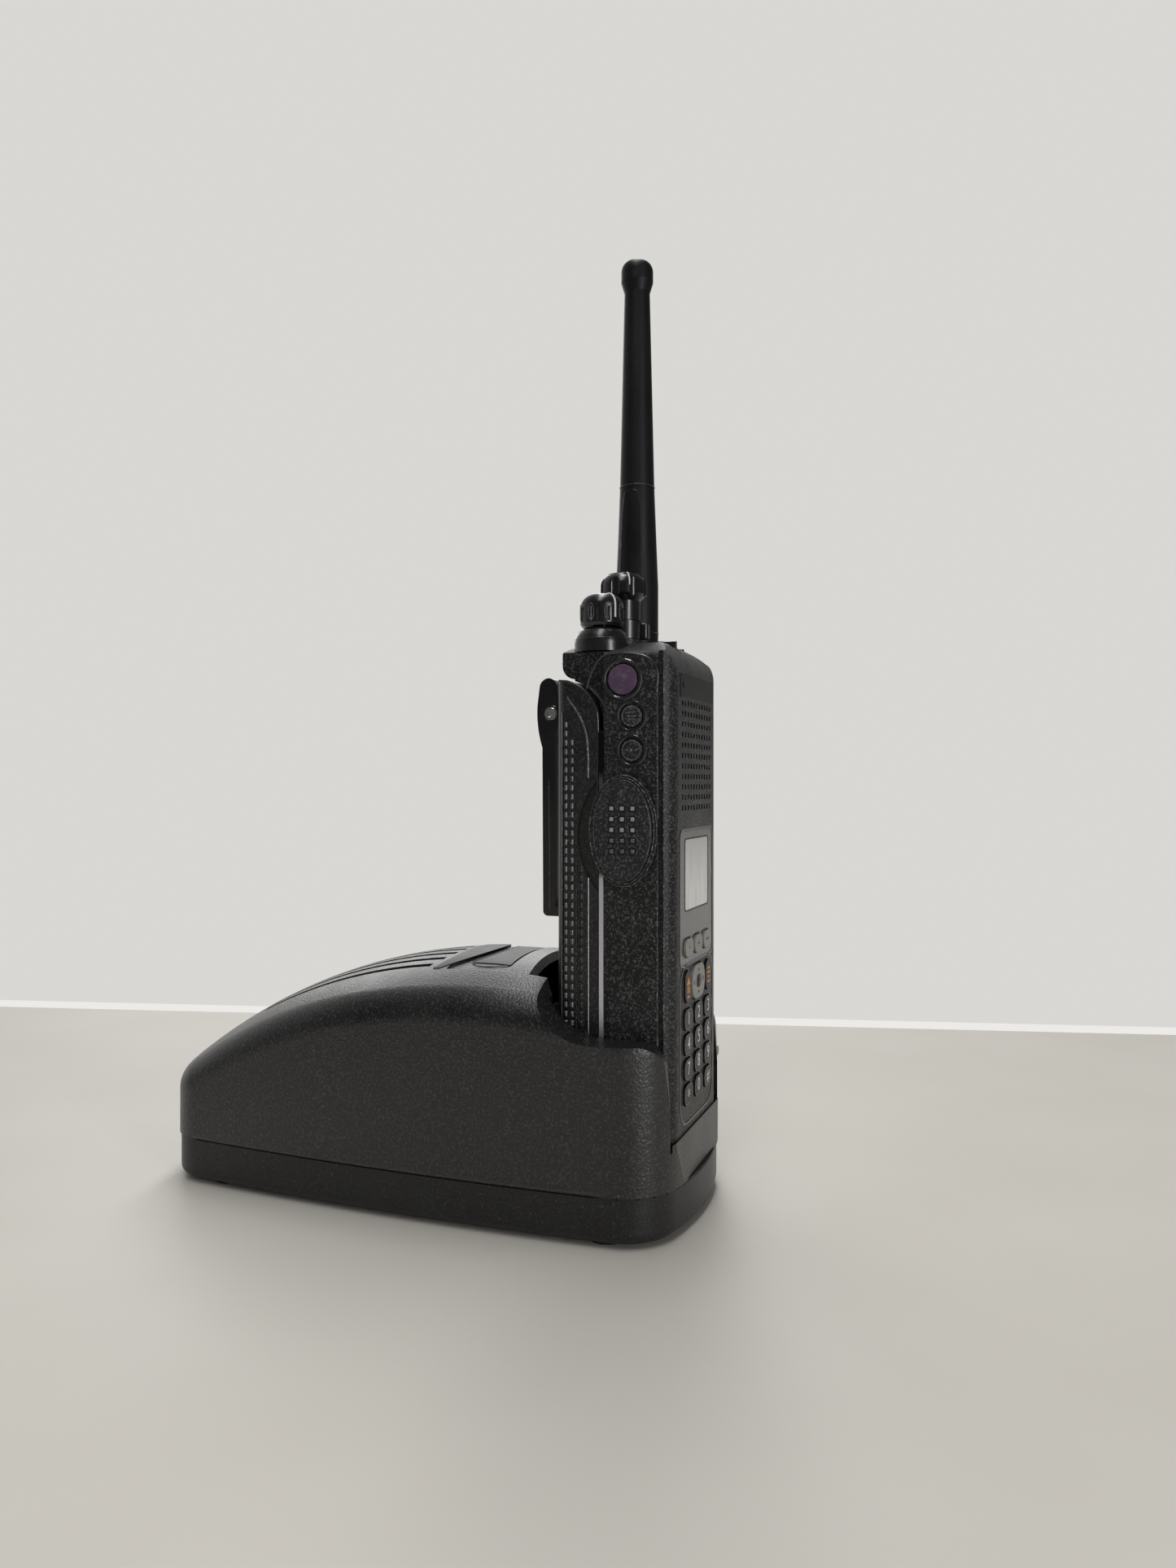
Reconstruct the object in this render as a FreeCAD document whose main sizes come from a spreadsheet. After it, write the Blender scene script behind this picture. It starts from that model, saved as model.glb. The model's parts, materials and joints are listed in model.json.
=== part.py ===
import FreeCAD, Part
import math
import os
import re
import Sketcher
from FreeCAD import Placement, Rotation, Vector

# Two way radio standing in its desktop charger, in millimetres.
# The origin is on the floor under the middle of the charger, +Z is up.
# The keypad faces -Y, the talk button is on the -X side.

SIZES = {
    # Charger outline seen from above
    "charger_width": 91.0,
    "charger_length": 200.0,
    "side_bow": 4.0,
    "front_bow": 7.0,
    "rear_bow": 2.5,
    "front_corner": 20.0,
    "rear_corner": 16.0,
    # Base tray
    "foot_radius": 7.0,
    "foot_height": 2.4,
    "foot_seat": 1.0,
    "foot_spread_x": 62.0,
    "foot_spread_y": 150.0,
    "tray_bottom": 1.4,
    "parting_height": 17.0,
    "tray_inset": 0.5,
    "tray_edge": 3.5,
    "tray_floor": 2.4,
    "shell_wall": 2.6,
    "screw_radius": 1.6,
    "screw_head_radius": 3.0,
    "screw_head_height": 1.8,
    "screw_play": 0.2,
    "screw_sink": 1.0,
    "thread_play": 0.1,
    "screw_bite": 4.0,
    "screw_length": 9.0,
    "screw_spread_x": 56.0,
    "screw_spread_y": 118.0,
    "boss_radius": 4.0,
    # Hump of the top housing
    "hump_height": 87.3,
    "hump_peak": 27.0,
    "hump_radius": 208.0,
    "hump_cross_radius": 100.0,
    "hump_shoulder": 12.0,
    # Cheeks on both sides of the radio and the lip in front of it
    "cheek_height": 64.5,
    "scoop_radius": 22.0,
    "scoop_reach": 73.0,
    "cheek_front": 87.0,
    "cheek_corner": 8.0,
    "cut_reach": 20.0,
    "foot_sink": 5.0,
    "scoop_run": 2.0,
    "cheek_foot": 98.6,
    "lip_height": 31.5,
    "lip_setback": 1.8,
    "mouth_width": 50.0,
    # Pocket that the radio stands in
    "pocket_floor": 29.0,
    "pocket_gap": 1.4,
    "pocket_wall": 2.6,
    "pocket_bevel": 11.0,
    "bevel_drop": 20.0,
    "bevel_inset": 4.0,
    # Vent slots and the flat field in front of them
    "slot_count": 8,
    "slot_width": 2.6,
    "slot_pitch": 6.6,
    "slot_front": 9.0,
    "slot_rear": 70.0,
    "slot_curve": 5.0,
    "field_width": 54.0,
    "field_front": 36.0,
    "field_rear": 13.0,
    "field_depth": 0.7,
    # Parts inside the charger
    "board_width": 44.0,
    "board_length": 104.0,
    "board_corner": 2.0,
    "board_post_inset": 6.0,
    "board_thickness": 1.6,
    "board_height": 9.0,
    "inlet_width": 9.0,
    "inlet_height": 10.0,
    "inlet_length": 13.0,
    "inlet_play": 0.2,
    "inlet_corner": 1.0,
    "inlet_set": 1.2,
    "inlet_notch": 12.0,
    "inlet_level": 9.6,
    "inlet_bore": 2.85,
    "inlet_bore_depth": 9.5,
    "inlet_pin": 1.0,
    "contact_pitch": 7.0,
    "contact_width": 2.4,
    "contact_rise": 9.0,
    "contact_thickness": 0.8,
    "contact_level": 40.0,
    "status_light_x": 36.5,
    "status_light_level": 47.0,
    "status_light_radius": 1.8,
    "status_light_front": 94.6,
    "status_light_length": 3.4,
    # Battery
    "battery_width": 56.4,
    "battery_back": 54.6,
    "battery_depth": 16.0,
    "battery_arch_radius": 14.2,
    "battery_arch_level": 168.8,
    "battery_corner": 5.0,
    "battery_wall": 1.8,
    "battery_lid_thickness": 1.4,
    "cell_width": 15.6,
    "cell_height": 58.0,
    "cell_depth": 11.0,
    "cell_gap": 0.6,
    "cell_base": 36.0,
    "battery_floor": 5.0,
    "battery_head": 3.0,
    "battery_hollow_corner": 3.0,
    "lid_play": 0.1,
    "pad_margin": 0.7,
    "pad_thickness": 0.4,
    "latch_width": 18.0,
    "latch_depth": 8.0,
    "latch_height": 1.6,
    "latch_lift": 1.6,
    "latch_travel": 1.0,
    "latch_set": 8.0,
    "latch_corner": 1.0,
    "latch_gap": 0.1,
    "scallop_radius": 27.6,
    "scallop_width": 1.3,
    "scallop_depth": 0.6,
    "scallop_y": 90.8,
    "scallop_level": 130.8,
    "over_cut": 1.0,
    # Belt clip on the back of the battery
    "clip_width": 24.0,
    "clip_wall": 1.6,
    "clip_top": 185.4,
    "clip_bottom": 101.4,
    "clip_stand": 11.0,
    "clip_depth": 4.6,
    "clip_plate": 1.8,
    "clip_hook": 3.6,
    "clip_tip": 1.0,
    "clip_tip_rise": 3.0,
    "clip_hook_rise": 3.4,
    "clip_toe": 1.6,
    "clip_toe_rise": 1.8,
    "clip_bow": 0.3,
    "clip_bow_round": 40.0,
    "clip_neck": 12.0,
    "clip_brow": 2.2,
    "clip_brow_rise": 3.0,
    "clip_crown": 1.4,
    "clip_crown_drop": 3.4,
    "clip_crown_round": 3.6,
    "clip_back": 2.0,
    "clip_back_round": 3.2,
    "clip_thumb": 5.2,
    "clip_thumb_drop": 3.0,
    "clip_waist": 7.0,
    "clip_waist_drop": 8.0,
    "clip_bay_height": 58.0,
    "clip_bay_corner": 3.0,
    "clip_bay_level": 33.0,
    "clip_bay_over": 0.5,
    "clip_eye_play": 1.0,
    "clip_eye_height": 17.0,
    "clip_eye_corner": 2.0,
    "clip_eye_drop": 1.0,
    "clip_eye_depth": 12.0,
    "clip_eye_deeper": 1.6,
    "clip_pin_level": 172.8,
    "clip_pin_stand": 7.8,
    "clip_pin_radius": 1.9,
    "clip_pin_head": 2.3,
    "pin_head_depth": 0.5,
    "pin_neck_depth": 0.3,
    "pin_stand": 0.1,
    "spring_play": 0.1,
    "bracket_width": 17.6,
    "bracket_ear": 2.2,
    "bracket_height": 15.0,
    "bracket_plate": 1.5,
    "bracket_ear_radius": 3.0,
    "spring_radius": 2.9,
    "spring_width": 9.0,
    "pin_play": 0.06,
    # Radio housing
    "radio_width": 58.0,
    "radio_base": 29.4,
    "radio_front": 96.4,
    "radio_back": 72.4,
    "radio_top": 197.6,
    "crown_radius": 66.0,
    "front_brow": 14.0,
    "brow_drop": 0.6,
    "dome_corner": 3.2,
    "dome_edge": 5.6,
    "dome_side": 10.0,
    "side_lean": 0.6,
    "front_lean": 0.5,
    "side_front": 91.4,
    "groove_width": 1.6,
    "groove_depth": 1.1,
    "front_corner_radius": 7.0,
    "front_flat_width": 45.0,
    "back_step": 2.2,
    "side_wall": 3.0,
    "cavity_corner": 2.0,
    "front_wall": 4.4,
    "end_wall": 2.4,
    "cavity_top": 187.0,
    "shoulder_width": 50.0,
    "shoulder_back": 56.4,
    "shoulder_drop": 2.0,
    "shoulder_round": 4.5,
    "arch_gap": 0.4,
    "chassis_thickness": 1.5,
    "chassis_play": 0.6,
    "chassis_headroom": 6.0,
    "chassis_corner": 1.0,
    # Display
    "lens_width": 41.0,
    "lens_base": 87.6,
    "lens_height": 44.6,
    "lens_corner": 2.6,
    "lens_thickness": 1.4,
    "lens_well": 2.8,
    "lens_play": 0.2,
    "window_width": 29.0,
    "window_base": 105.6,
    "window_height": 23.6,
    "window_corner": 1.2,
    "panel_width": 34.0,
    "panel_height": 28.0,
    "panel_thickness": 1.2,
    "panel_corner": 1.0,
    # Keypad
    "keypad_base": 34.4,
    "keypad_height": 52.6,
    "keypad_corner": 8.0,
    "keypad_well": 3.4,
    "keypad_thickness": 1.2,
    "key_rise": 0.8,
    "key_length": 3.0,
    "key_gap": 0.25,
    "key_width": 10.2,
    "key_height": 6.9,
    "key_corner": 3.0,
    "key_pitch_x": 12.6,
    "key_pitch_z": 8.4,
    "key_bottom_row": 43.9,
    "key_columns": 3,
    "key_rows": 4,
    "nav_level": 80.0,
    "nav_width": 16.0,
    "nav_height": 11.6,
    "nav_tilt_gap": 0.5,
    "nav_hole_corner": 5.6,
    "nav_corner": 5.4,
    "nav_shorter": 0.8,
    "nav_eye_corner": 2.2,
    "nav_eye_width": 6.2,
    "nav_eye_height": 4.6,
    "icon_key_x": 13.2,
    "icon_key_width": 7.6,
    "icon_key_height": 10.8,
    "icon_key_corner": 3.6,
    "menu_level": 93.0,
    "menu_width": 9.6,
    "menu_pitch": 11.6,
    "menu_sink": 0.2,
    "menu_height": 6.0,
    "menu_corner": 2.9,
    "dome_sheet_thickness": 0.4,
    "sheet_margin": 1.0,
    # Speaker grille
    "grille_count": 11,
    "grille_pitch": 3.5,
    "grille_hole": 1.7,
    "grille_depth": 1.2,
    "grille_base": 140.0,
    "speaker_radius": 17.0,
    "speaker_depth": 7.0,
    "microphone_level": 136.0,
    "microphone_radius": 2.2,
    "microphone_length": 2.4,
    "microphone_x": 13.0,
    # Side controls
    "talk_centre_y": 79.8,
    "talk_level": 132.7,
    "talk_height": 33.6,
    "talk_width": 20.4,
    "talk_ring": 1.5,
    "talk_ring_rise": 1.5,
    "talk_rise": 2.6,
    "talk_thickness": 2.0,
    "talk_gap": 0.25,
    "talk_edge": 0.8,
    "select_y": 79.3,
    "select_level": 182.3,
    "select_radius": 5.0,
    "side_button_y": 82.4,
    "side_button_upper_level": 170.2,
    "side_button_lower_level": 159.0,
    "side_button_radius": 3.7,
    "side_button_rise": 0.5,
    "side_button_length": 2.0,
    "side_button_edge": 0.3,
    "side_well": 2.4,
    "side_button_gap": 0.3,
    "cover_y": 84.0,
    "cover_level": 150.0,
    "cover_width": 14.0,
    "cover_height": 40.0,
    "cover_play": 0.2,
    "cover_corner": 3.0,
    "cover_thickness": 2.2,
    "cover_seat": 1.0,
    # Top controls
    "volume_x": 18.0,
    "volume_y": 68.0,
    "volume_collar_radius": 9.3,
    "volume_collar_base": 192.6,
    "volume_collar_height": 8.4,
    "collar_play": 0.1,
    "collar_rim": 2.4,
    "collar_round": 6.2,
    "collar_top": 1.4,
    "volume_radius": 7.4,
    "volume_base": 201.4,
    "volume_height": 10.9,
    "volume_flutes": 8,
    "knob_floor": 0.3,
    "volume_hem": 0.6,
    "volume_hem_rise": 1.0,
    "volume_shoulder": 4.0,
    "volume_crown": 3.4,
    "volume_flute_radius": 2.0,
    "volume_flute_reach": 1.4,
    "volume_flute_base": 1.4,
    "volume_flute_short": 6.0,
    "channel_y": 69.5,
    "channel_radius": 8.3,
    "channel_neck_radius": 6.1,
    "channel_base": 205.8,
    "channel_neck_height": 6.8,
    "channel_height": 16.7,
    "channel_lobes": 8,
    "channel_flare": 2.4,
    "channel_shoulder": 4.4,
    "channel_round": 4.6,
    "channel_crown": 4.2,
    "channel_flute_radius": 2.4,
    "channel_flute_reach": 1.6,
    "channel_flute_short": 1.6,
    "ring_radius": 7.0,
    "ring_base": 199.2,
    "ring_height": 6.2,
    "ring_tab_radius": 9.5,
    "ring_tab_width": 4.0,
    "ring_tab_corner": 1.2,
    "ring_tab_drop": 1.2,
    "shaft_radius": 3.0,
    "shaft_play": 0.06,
    "shaft_depth": 3.6,
    "boss_top": 199.0,
    "boss_height": 6.0,
    "antenna_x": 17.0,
    "antenna_y": 69.0,
    "antenna_base": 197.0,
    "antenna_top": 341.5,
    "antenna_sleeve_radius": 7.8,
    "antenna_sleeve_height": 24.0,
    "antenna_mid_radius": 6.35,
    "antenna_mid_level": 258.0,
    "antenna_tip_radius": 4.7,
    "antenna_bulb_radius": 5.9,
    "antenna_bulb_height": 12.0,
    "antenna_bulb_rise": 4.0,
    "antenna_bulb_round": 4.2,
    "antenna_bulb_crown": 3.6,
    "antenna_core_radius": 1.5,
    "antenna_core_gap": 0.05,
    "antenna_core_end": 14.0,
    "antenna_core_short": 0.5,
    "bushing_radius": 5.6,
    "bushing_base": 193.0,
    "top_button_x": 9.0,
    "top_button_y": 80.6,
    "top_button_radius": 2.8,
    "top_button_top": 199.0,
    "top_button_length": 4.4,
    "top_button_travel": 0.7,
    "top_button_play": 0.25,
    "top_button_floor": 0.2,
    "toggle_x": 3.0,
    "toggle_y": 87.2,
    "toggle_width": 1.8,
    "toggle_length": 5.4,
    "toggle_pivot_level": 189.0,
    "toggle_top": 198.2,
    "toggle_tip": 1.0,
    "toggle_tip_round": 1.2,
    "toggle_slot_width": 7.0,
    "toggle_slot_length": 6.4,
    "toggle_slot_corner": 1.0,
    "toggle_well": 2.2,
    "toggle_axle_radius": 1.3,
    "led_x": 12.0,
    "led_y": 87.0,
    "led_radius": 1.4,
    "led_top": 196.4,
    "led_length": 3.0,
    # Room that a cutting form takes past what it cuts
    "cut_margin": 6.0,
    # Inside the radio
    "main_board_width": 47.0,
    "main_board_base": 34.0,
    "main_board_height": 148.0,
    "main_board_thickness": 1.6,
    "main_board_corner": 2.0,
    "main_board_front": 84.0,
    "switch_width": 4.5,
    "switch_depth": 1.6,
    "switch_height": 3.6,
}

DOC = FreeCAD.newDocument("TwoWayRadio")
SHEET = DOC.addObject("Spreadsheet::Sheet", "Sizes")
SUB_PARTS = []


def fill_sheet():
    for row, (alias, value) in enumerate(SIZES.items(), 1):
        SHEET.set(f"A{row}", alias)
        SHEET.set(f"B{row}", str(value))
        SHEET.setAlias(f"B{row}", alias)
    DOC.recompute()


def linked(text):
    """An expression in which each named size points at its cell."""
    def point(match):
        word = match.group(0)
        return "Sizes." + word if word in SIZES else word
    return re.sub(r"[a-z][a-z_]*", point, str(text))


def size(text):
    """The number that an expression of named sizes gives."""
    return float(SHEET.evalExpression(str(text)))


def bind(thing, name, text):
    thing.setExpression(name, linked(text))


def place(thing, x="0", y="0", z="0", turn=None):
    """Put an object at a point worked out from named sizes."""
    where = Vector(size(x), size(y), size(z))
    thing.Placement = Placement(where, turn or Rotation())
    bind(thing, "Placement.Base.x", x)
    bind(thing, "Placement.Base.y", y)
    bind(thing, "Placement.Base.z", z)


def sub_part(label, thing):
    """Count an object as one piece of the radio."""
    thing.Label = label
    SUB_PARTS.append(thing)
    return thing


# Sketches lie square to the way they face: a front sketch has X across and Z up,
# a side sketch has Y across and Z up, and a top sketch has X across and Y up.
PLANES = {"front": "XZ_Plane", "side": "YZ_Plane", "top": "XY_Plane"}


def new_body(label, x="0", y="0", z="0"):
    body = DOC.addObject("PartDesign::Body", label)
    place(body, x, y, z)
    return sub_part(label, body)


def new_sketch(body, facing, start="0"):
    sketch = body.newObject("Sketcher::SketchObject", body.Label + "_sketch")
    role = PLANES[facing]
    plane = next(p for p in body.Origin.OriginFeatures if p.Role == role)
    sketch.AttachmentSupport = [(plane, "")]
    sketch.MapMode = "FlatFace"
    sign = "-1" if facing == "front" else "1"
    bind(sketch, "AttachmentOffset.Base.z", f"{sign} * ({start})")
    return sketch


def dimension(sketch, kind, where, text):
    """Bind one dimension of a sketch to named sizes."""
    index = sketch.addConstraint(Sketcher.Constraint(kind, *where, size(text)))
    name = f"d{index}"
    sketch.renameConstraint(index, name)
    sketch.setExpression("Constraints." + name, linked(text))


def draw_rectangle(sketch, wide, tall, corner, across="0", up="0"):
    """A rectangle with round corners, about a centre."""
    radius = size(corner)
    west = f"{across} - ({wide}) / 2"
    east = f"{across} + ({wide}) / 2"
    south = f"{up} - ({tall}) / 2"
    north = f"{up} + ({tall}) / 2"
    w, e, s, n = size(west), size(east), size(south), size(north)
    first = sketch.GeometryCount
    lines = [
        Part.LineSegment(Vector(w + radius, s, 0), Vector(e - radius, s, 0)),
        Part.LineSegment(Vector(e, s + radius, 0), Vector(e, n - radius, 0)),
        Part.LineSegment(Vector(e - radius, n, 0), Vector(w + radius, n, 0)),
        Part.LineSegment(Vector(w, n - radius, 0), Vector(w, s + radius, 0)),
    ]
    centres = [(e - radius, s + radius), (e - radius, n - radius),
               (w + radius, n - radius), (w + radius, s + radius)]
    arcs = []
    for quarter, (x, y) in enumerate(centres, -1):
        circle = Part.Circle(Vector(x, y, 0), Vector(0, 0, 1), radius)
        begin = quarter * math.pi / 2
        arcs.append(Part.ArcOfCircle(circle, begin, begin + math.pi / 2))
    sketch.addGeometry(lines + arcs, False)
    rules = []
    for side in range(4):
        arc = first + 4 + side
        rules.append(Sketcher.Constraint("Tangent", first + side, 2, arc, 1))
        rules.append(Sketcher.Constraint("Tangent", arc, 2, first + (side + 1) % 4, 1))
    for side, kind in enumerate(("Horizontal", "Vertical", "Horizontal", "Vertical")):
        rules.append(Sketcher.Constraint(kind, first + side))
    for arc in range(first + 4, first + 7):
        rules.append(Sketcher.Constraint("Equal", arc, arc + 1))
    sketch.addConstraint(rules)
    dimension(sketch, "Radius", (first + 4,), corner)
    dimension(sketch, "DistanceX", (-1, 1, first + 3, 1), west)
    dimension(sketch, "DistanceX", (-1, 1, first + 1, 1), east)
    dimension(sketch, "DistanceY", (-1, 1, first, 1), south)
    dimension(sketch, "DistanceY", (-1, 1, first + 2, 1), north)


def draw_circle(sketch, radius, across="0", up="0"):
    centre = Vector(size(across), size(up), 0)
    index = sketch.addGeometry(Part.Circle(centre, Vector(0, 0, 1), size(radius)), False)
    dimension(sketch, "Radius", (index,), radius)
    dimension(sketch, "DistanceX", (-1, 1, index, 3), across)
    dimension(sketch, "DistanceY", (-1, 1, index, 3), up)


def draw_oval(sketch, wide, tall, across="0", up="0"):
    """An upright ellipse about a centre."""
    x, y = size(across), size(up)
    top = Vector(x, y + size(tall) / 2, 0)
    side = Vector(x - size(wide) / 2, y, 0)
    sketch.addGeometry(Part.Ellipse(top, side, Vector(x, y, 0)), False)


def draw_path(sketch, path):
    """A closed outline. Each stop is its place and, where an arc leads on to the
    next stop, the arc's radius and its bulge: 1 to the right of travel, -1 to the left."""
    points = [Vector(size(stop[0]), size(stop[1]), 0) for stop in path]
    first = sketch.GeometryCount
    ends = []
    for index, stop in enumerate(path):
        here = points[index]
        there = points[(index + 1) % len(path)]
        if len(stop) == 2:
            sketch.addGeometry(Part.LineSegment(here, there), False)
            ends.append((1, 2))
            continue
        radius = size(stop[2])
        chord = there - here
        right = Vector(chord.y, -chord.x, 0).normalize()
        rise = math.sqrt(max(radius ** 2 - (chord.Length / 2) ** 2, 0))
        centre = (here + there) / 2 - right * stop[3] * rise
        turns = [math.atan2(p.y - centre.y, p.x - centre.x) for p in (here, there)]
        begin, end = turns if stop[3] > 0 else turns[::-1]
        if end < begin:
            end += 2 * math.pi
        circle = Part.Circle(centre, Vector(0, 0, 1), radius)
        sketch.addGeometry(Part.ArcOfCircle(circle, begin, end), False)
        ends.append((1, 2) if stop[3] > 0 else (2, 1))
    for index, stop in enumerate(path):
        edge = first + index
        following = (index + 1) % len(path)
        sketch.addConstraint(Sketcher.Constraint(
            "Coincident", edge, ends[index][1], first + following, ends[following][0]))
        dimension(sketch, "DistanceX", (-1, 1, edge, ends[index][0]), stop[0])
        dimension(sketch, "DistanceY", (-1, 1, edge, ends[index][0]), stop[1])
        if len(stop) > 2:
            dimension(sketch, "Radius", (edge,), stop[2])


def sketch_loop(sketch, corners):
    """A closed loop of straight lines through corners already worked out."""
    lines = [Part.LineSegment(corner, corners[(index + 1) % len(corners)])
             for index, corner in enumerate(corners)]
    sketch.addGeometry(lines, False)


def raise_pad(body, sketch, length):
    """Add material from a sketch along the world axis that it faces."""
    pad = body.newObject("PartDesign::Pad", body.Label + "_pad")
    pad.Profile = sketch
    pad.Reversed = sketch.AttachmentSupport[0][0].Role == "XZ_Plane"
    bind(pad, "Length", length)
    DOC.recompute()
    return pad


def cut_pocket(body, sketch, length):
    """Take material away from a sketch along the world axis that it faces."""
    before = body.Shape.Volume
    pocket = body.newObject("PartDesign::Pocket", body.Label + "_pocket")
    pocket.Profile = sketch
    pocket.Reversed = sketch.AttachmentSupport[0][0].Role != "XZ_Plane"
    bind(pocket, "Length", length)
    DOC.recompute()
    if not body.Shape.Volume < before:
        raise RuntimeError(f"a pocket of {body.Label} cuts nothing")
    return pocket


def revolve(body, sketch, axis_role):
    """Turn a sketch about one of its body's axes."""
    turned = body.newObject("PartDesign::Revolution", body.Label + "_turned")
    turned.Profile = sketch
    axis = next(a for a in body.Origin.OriginFeatures if a.Role == axis_role)
    turned.ReferenceAxis = (axis, [""])
    turned.Angle = 360
    DOC.recompute()
    return turned


def round_edges(body, radius, wanted):
    """Fillet the edges of a body that a rule picks."""
    shape = body.Shape
    names = [f"Edge{i}" for i, edge in enumerate(shape.Edges, 1) if wanted(edge)]
    if not names:
        raise RuntimeError(f"no edge of {body.Label} to round")
    base = body.Tip
    fillet = body.newObject("PartDesign::Fillet", body.Label + "_fillet")
    fillet.Base = (base, names)
    bind(fillet, "Radius", radius)
    body.Tip = fillet
    DOC.recompute()
    return fillet


def repeat(body, feature, ways):
    """Repeat a feature along axes. Each way is an axis, a pitch and a count."""
    before = body.Shape.Volume
    grid = body.newObject("PartDesign::MultiTransform", body.Label + "_grid")
    grid.Originals = [feature]
    steps = []
    for role, pitch, count in ways:
        line = DOC.addObject("PartDesign::LinearPattern", body.Label + "_line")
        axis = next(a for a in body.Origin.OriginFeatures if a.Role == role)
        line.Direction = (axis, [""])
        bind(line, "Length", f"({count} - 1) * {pitch}")
        bind(line, "Occurrences", count)
        body.addObject(line)
        steps.append(line)
    grid.Transformations = steps
    body.Tip = grid
    DOC.recompute()
    if not body.Shape.Volume < before:
        raise RuntimeError(f"the pattern of {body.Label} cuts nothing")


def slab(label, facing, wide, tall, corner, thick, x, y, z):
    """A plate with round corners. Its place is the middle of the face that it starts from."""
    body = new_body(label, x, y, z)
    sketch = new_sketch(body, facing)
    draw_rectangle(sketch, wide, tall, corner)
    raise_pad(body, sketch, thick)
    return body


def profile_block(label, facing, path, start, thick):
    """A block with a drawn outline, from one level along an axis."""
    body = new_body(label)
    sketch = new_sketch(body, facing, start)
    draw_path(sketch, path)
    raise_pad(body, sketch, thick)
    return body


def hollow(body, facing, wide, tall, corner, across, up, start, deep):
    sketch = new_sketch(body, facing, start)
    draw_rectangle(sketch, wide, tall, corner, across, up)
    cut_pocket(body, sketch, deep)


def drill(body, facing, radius, across, up, start, deep):
    sketch = new_sketch(body, facing, start)
    draw_circle(sketch, radius, across, up)
    cut_pocket(body, sketch, deep)


def rod(name, radius, length, x, y, z, turn=None):
    cylinder = DOC.addObject("Part::Cylinder", name)
    bind(cylinder, "Radius", radius)
    bind(cylinder, "Height", length)
    place(cylinder, x, y, z, turn)
    return cylinder


def brick(name, dx, dy, dz, x, y, z):
    box = DOC.addObject("Part::Box", name)
    bind(box, "Length", dx)
    bind(box, "Width", dy)
    bind(box, "Height", dz)
    place(box, x, y, z)
    return box


def join(label, things):
    """Several pieces in one, fused where they meet and apart where they don't."""
    fused = DOC.addObject("Part::MultiFuse", label)
    fused.Shapes = things
    DOC.recompute()
    return fused


TO_FRONT = Rotation(Vector(1, 0, 0), 90)
TO_BACK = Rotation(Vector(1, 0, 0), -90)
TO_RIGHT = Rotation(Vector(0, 1, 0), 90)


# Charger forms

def plan_prism(inset, low, high):
    """The charger's outline seen from above, drawn in by an inset, between two levels."""
    half_w = size(f"charger_width / 2 - {inset}")
    half_l = size(f"charger_length / 2 - {inset}")
    corner_x = half_w - size("side_bow")
    front_y = size("front_bow") - half_l
    rear_y = half_l - size("rear_bow")
    corners = [Vector(-corner_x, front_y, low), Vector(corner_x, front_y, low),
               Vector(corner_x, rear_y, low), Vector(-corner_x, rear_y, low)]
    middles = [Vector(0, -half_l, low), Vector(half_w, 0, low),
               Vector(0, half_l, low), Vector(-half_w, 0, low)]
    edges = []
    for index in range(4):
        arc = Part.Arc(corners[index], middles[index], corners[(index + 1) % 4])
        edges.append(arc.toShape())
    prism = Part.Face(Part.Wire(edges)).extrude(Vector(0, 0, high - low))

    def posts(ends):
        return [edge for edge in prism.Edges if edge.BoundBox.ZLength > 1
                and any(abs(edge.CenterOfMass.x - end.x) + abs(edge.CenterOfMass.y - end.y)
                        < 1e-3 for end in ends)]

    prism = prism.makeFillet(size(f"front_corner - {inset}"), posts(corners[:2]))
    return prism.makeFillet(size(f"rear_corner - {inset}"), posts(corners[2:]))


def hump_solid(inset):
    """A barrel that crowns the hump along and across, drawn in by an inset."""
    across = size(f"hump_cross_radius - {inset}")
    along = size("hump_radius - hump_cross_radius")
    centre = Vector(0, -size("hump_peak"), size("hump_height - hump_radius"))
    return Part.makeTorus(along, across, centre, Vector(1, 0, 0))


def mouth_outline(grow):
    """The side view of what is cut away in front of the hump and above the cheeks."""
    centre = Vector(0, -size("scoop_reach"), size("cheek_height + scoop_radius"))
    radius = size("scoop_radius") + grow
    high = size("hump_height + cut_reach")

    def on_scoop(degrees):
        turn = math.radians(degrees)
        return centre + Vector(0, radius * math.cos(turn), radius * math.sin(turn))

    scoop = [on_scoop(degrees) for degrees in (-5, -48, -90)]
    brow = Vector(0, -size("cheek_front"), scoop[2].z)
    corner = size("cheek_corner")
    nose = Vector(0, brow.y - corner, brow.z - corner)
    bend = Vector(0, brow.y - corner * math.sin(math.pi / 4),
                  brow.z - corner * (1 - math.cos(math.pi / 4)))
    foot = Vector(0, -size("cheek_foot"), size("parting_height - foot_sink"))
    out = -size("charger_length")
    top_y = scoop[0].y + size("scoop_run")
    edges = [
        Part.makeLine(Vector(0, top_y, high), scoop[0]),
        Part.Arc(*scoop).toShape(),
        Part.makeLine(scoop[2], brow),
        Part.Arc(brow, bend, nose).toShape(),
        Part.makeLine(nose, foot),
        Part.makeLine(foot, Vector(0, out, foot.z)),
        Part.makeLine(Vector(0, out, foot.z), Vector(0, out, high)),
        Part.makeLine(Vector(0, out, high), Vector(0, top_y, high)),
    ]
    return Part.Wire(edges)


def mouth_cut(grow):
    reach = size("charger_width")
    face = Part.Face(mouth_outline(grow))
    face.translate(Vector(-reach, 0, 0))
    return face.extrude(Vector(2 * reach, 0, 0))


def world_box(x, y, z):
    """A box between two places on each axis."""
    corner = Vector(x[0], y[0], z[0])
    return Part.makeBox(x[1] - x[0], y[1] - y[0], z[1] - z[0], corner)


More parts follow.
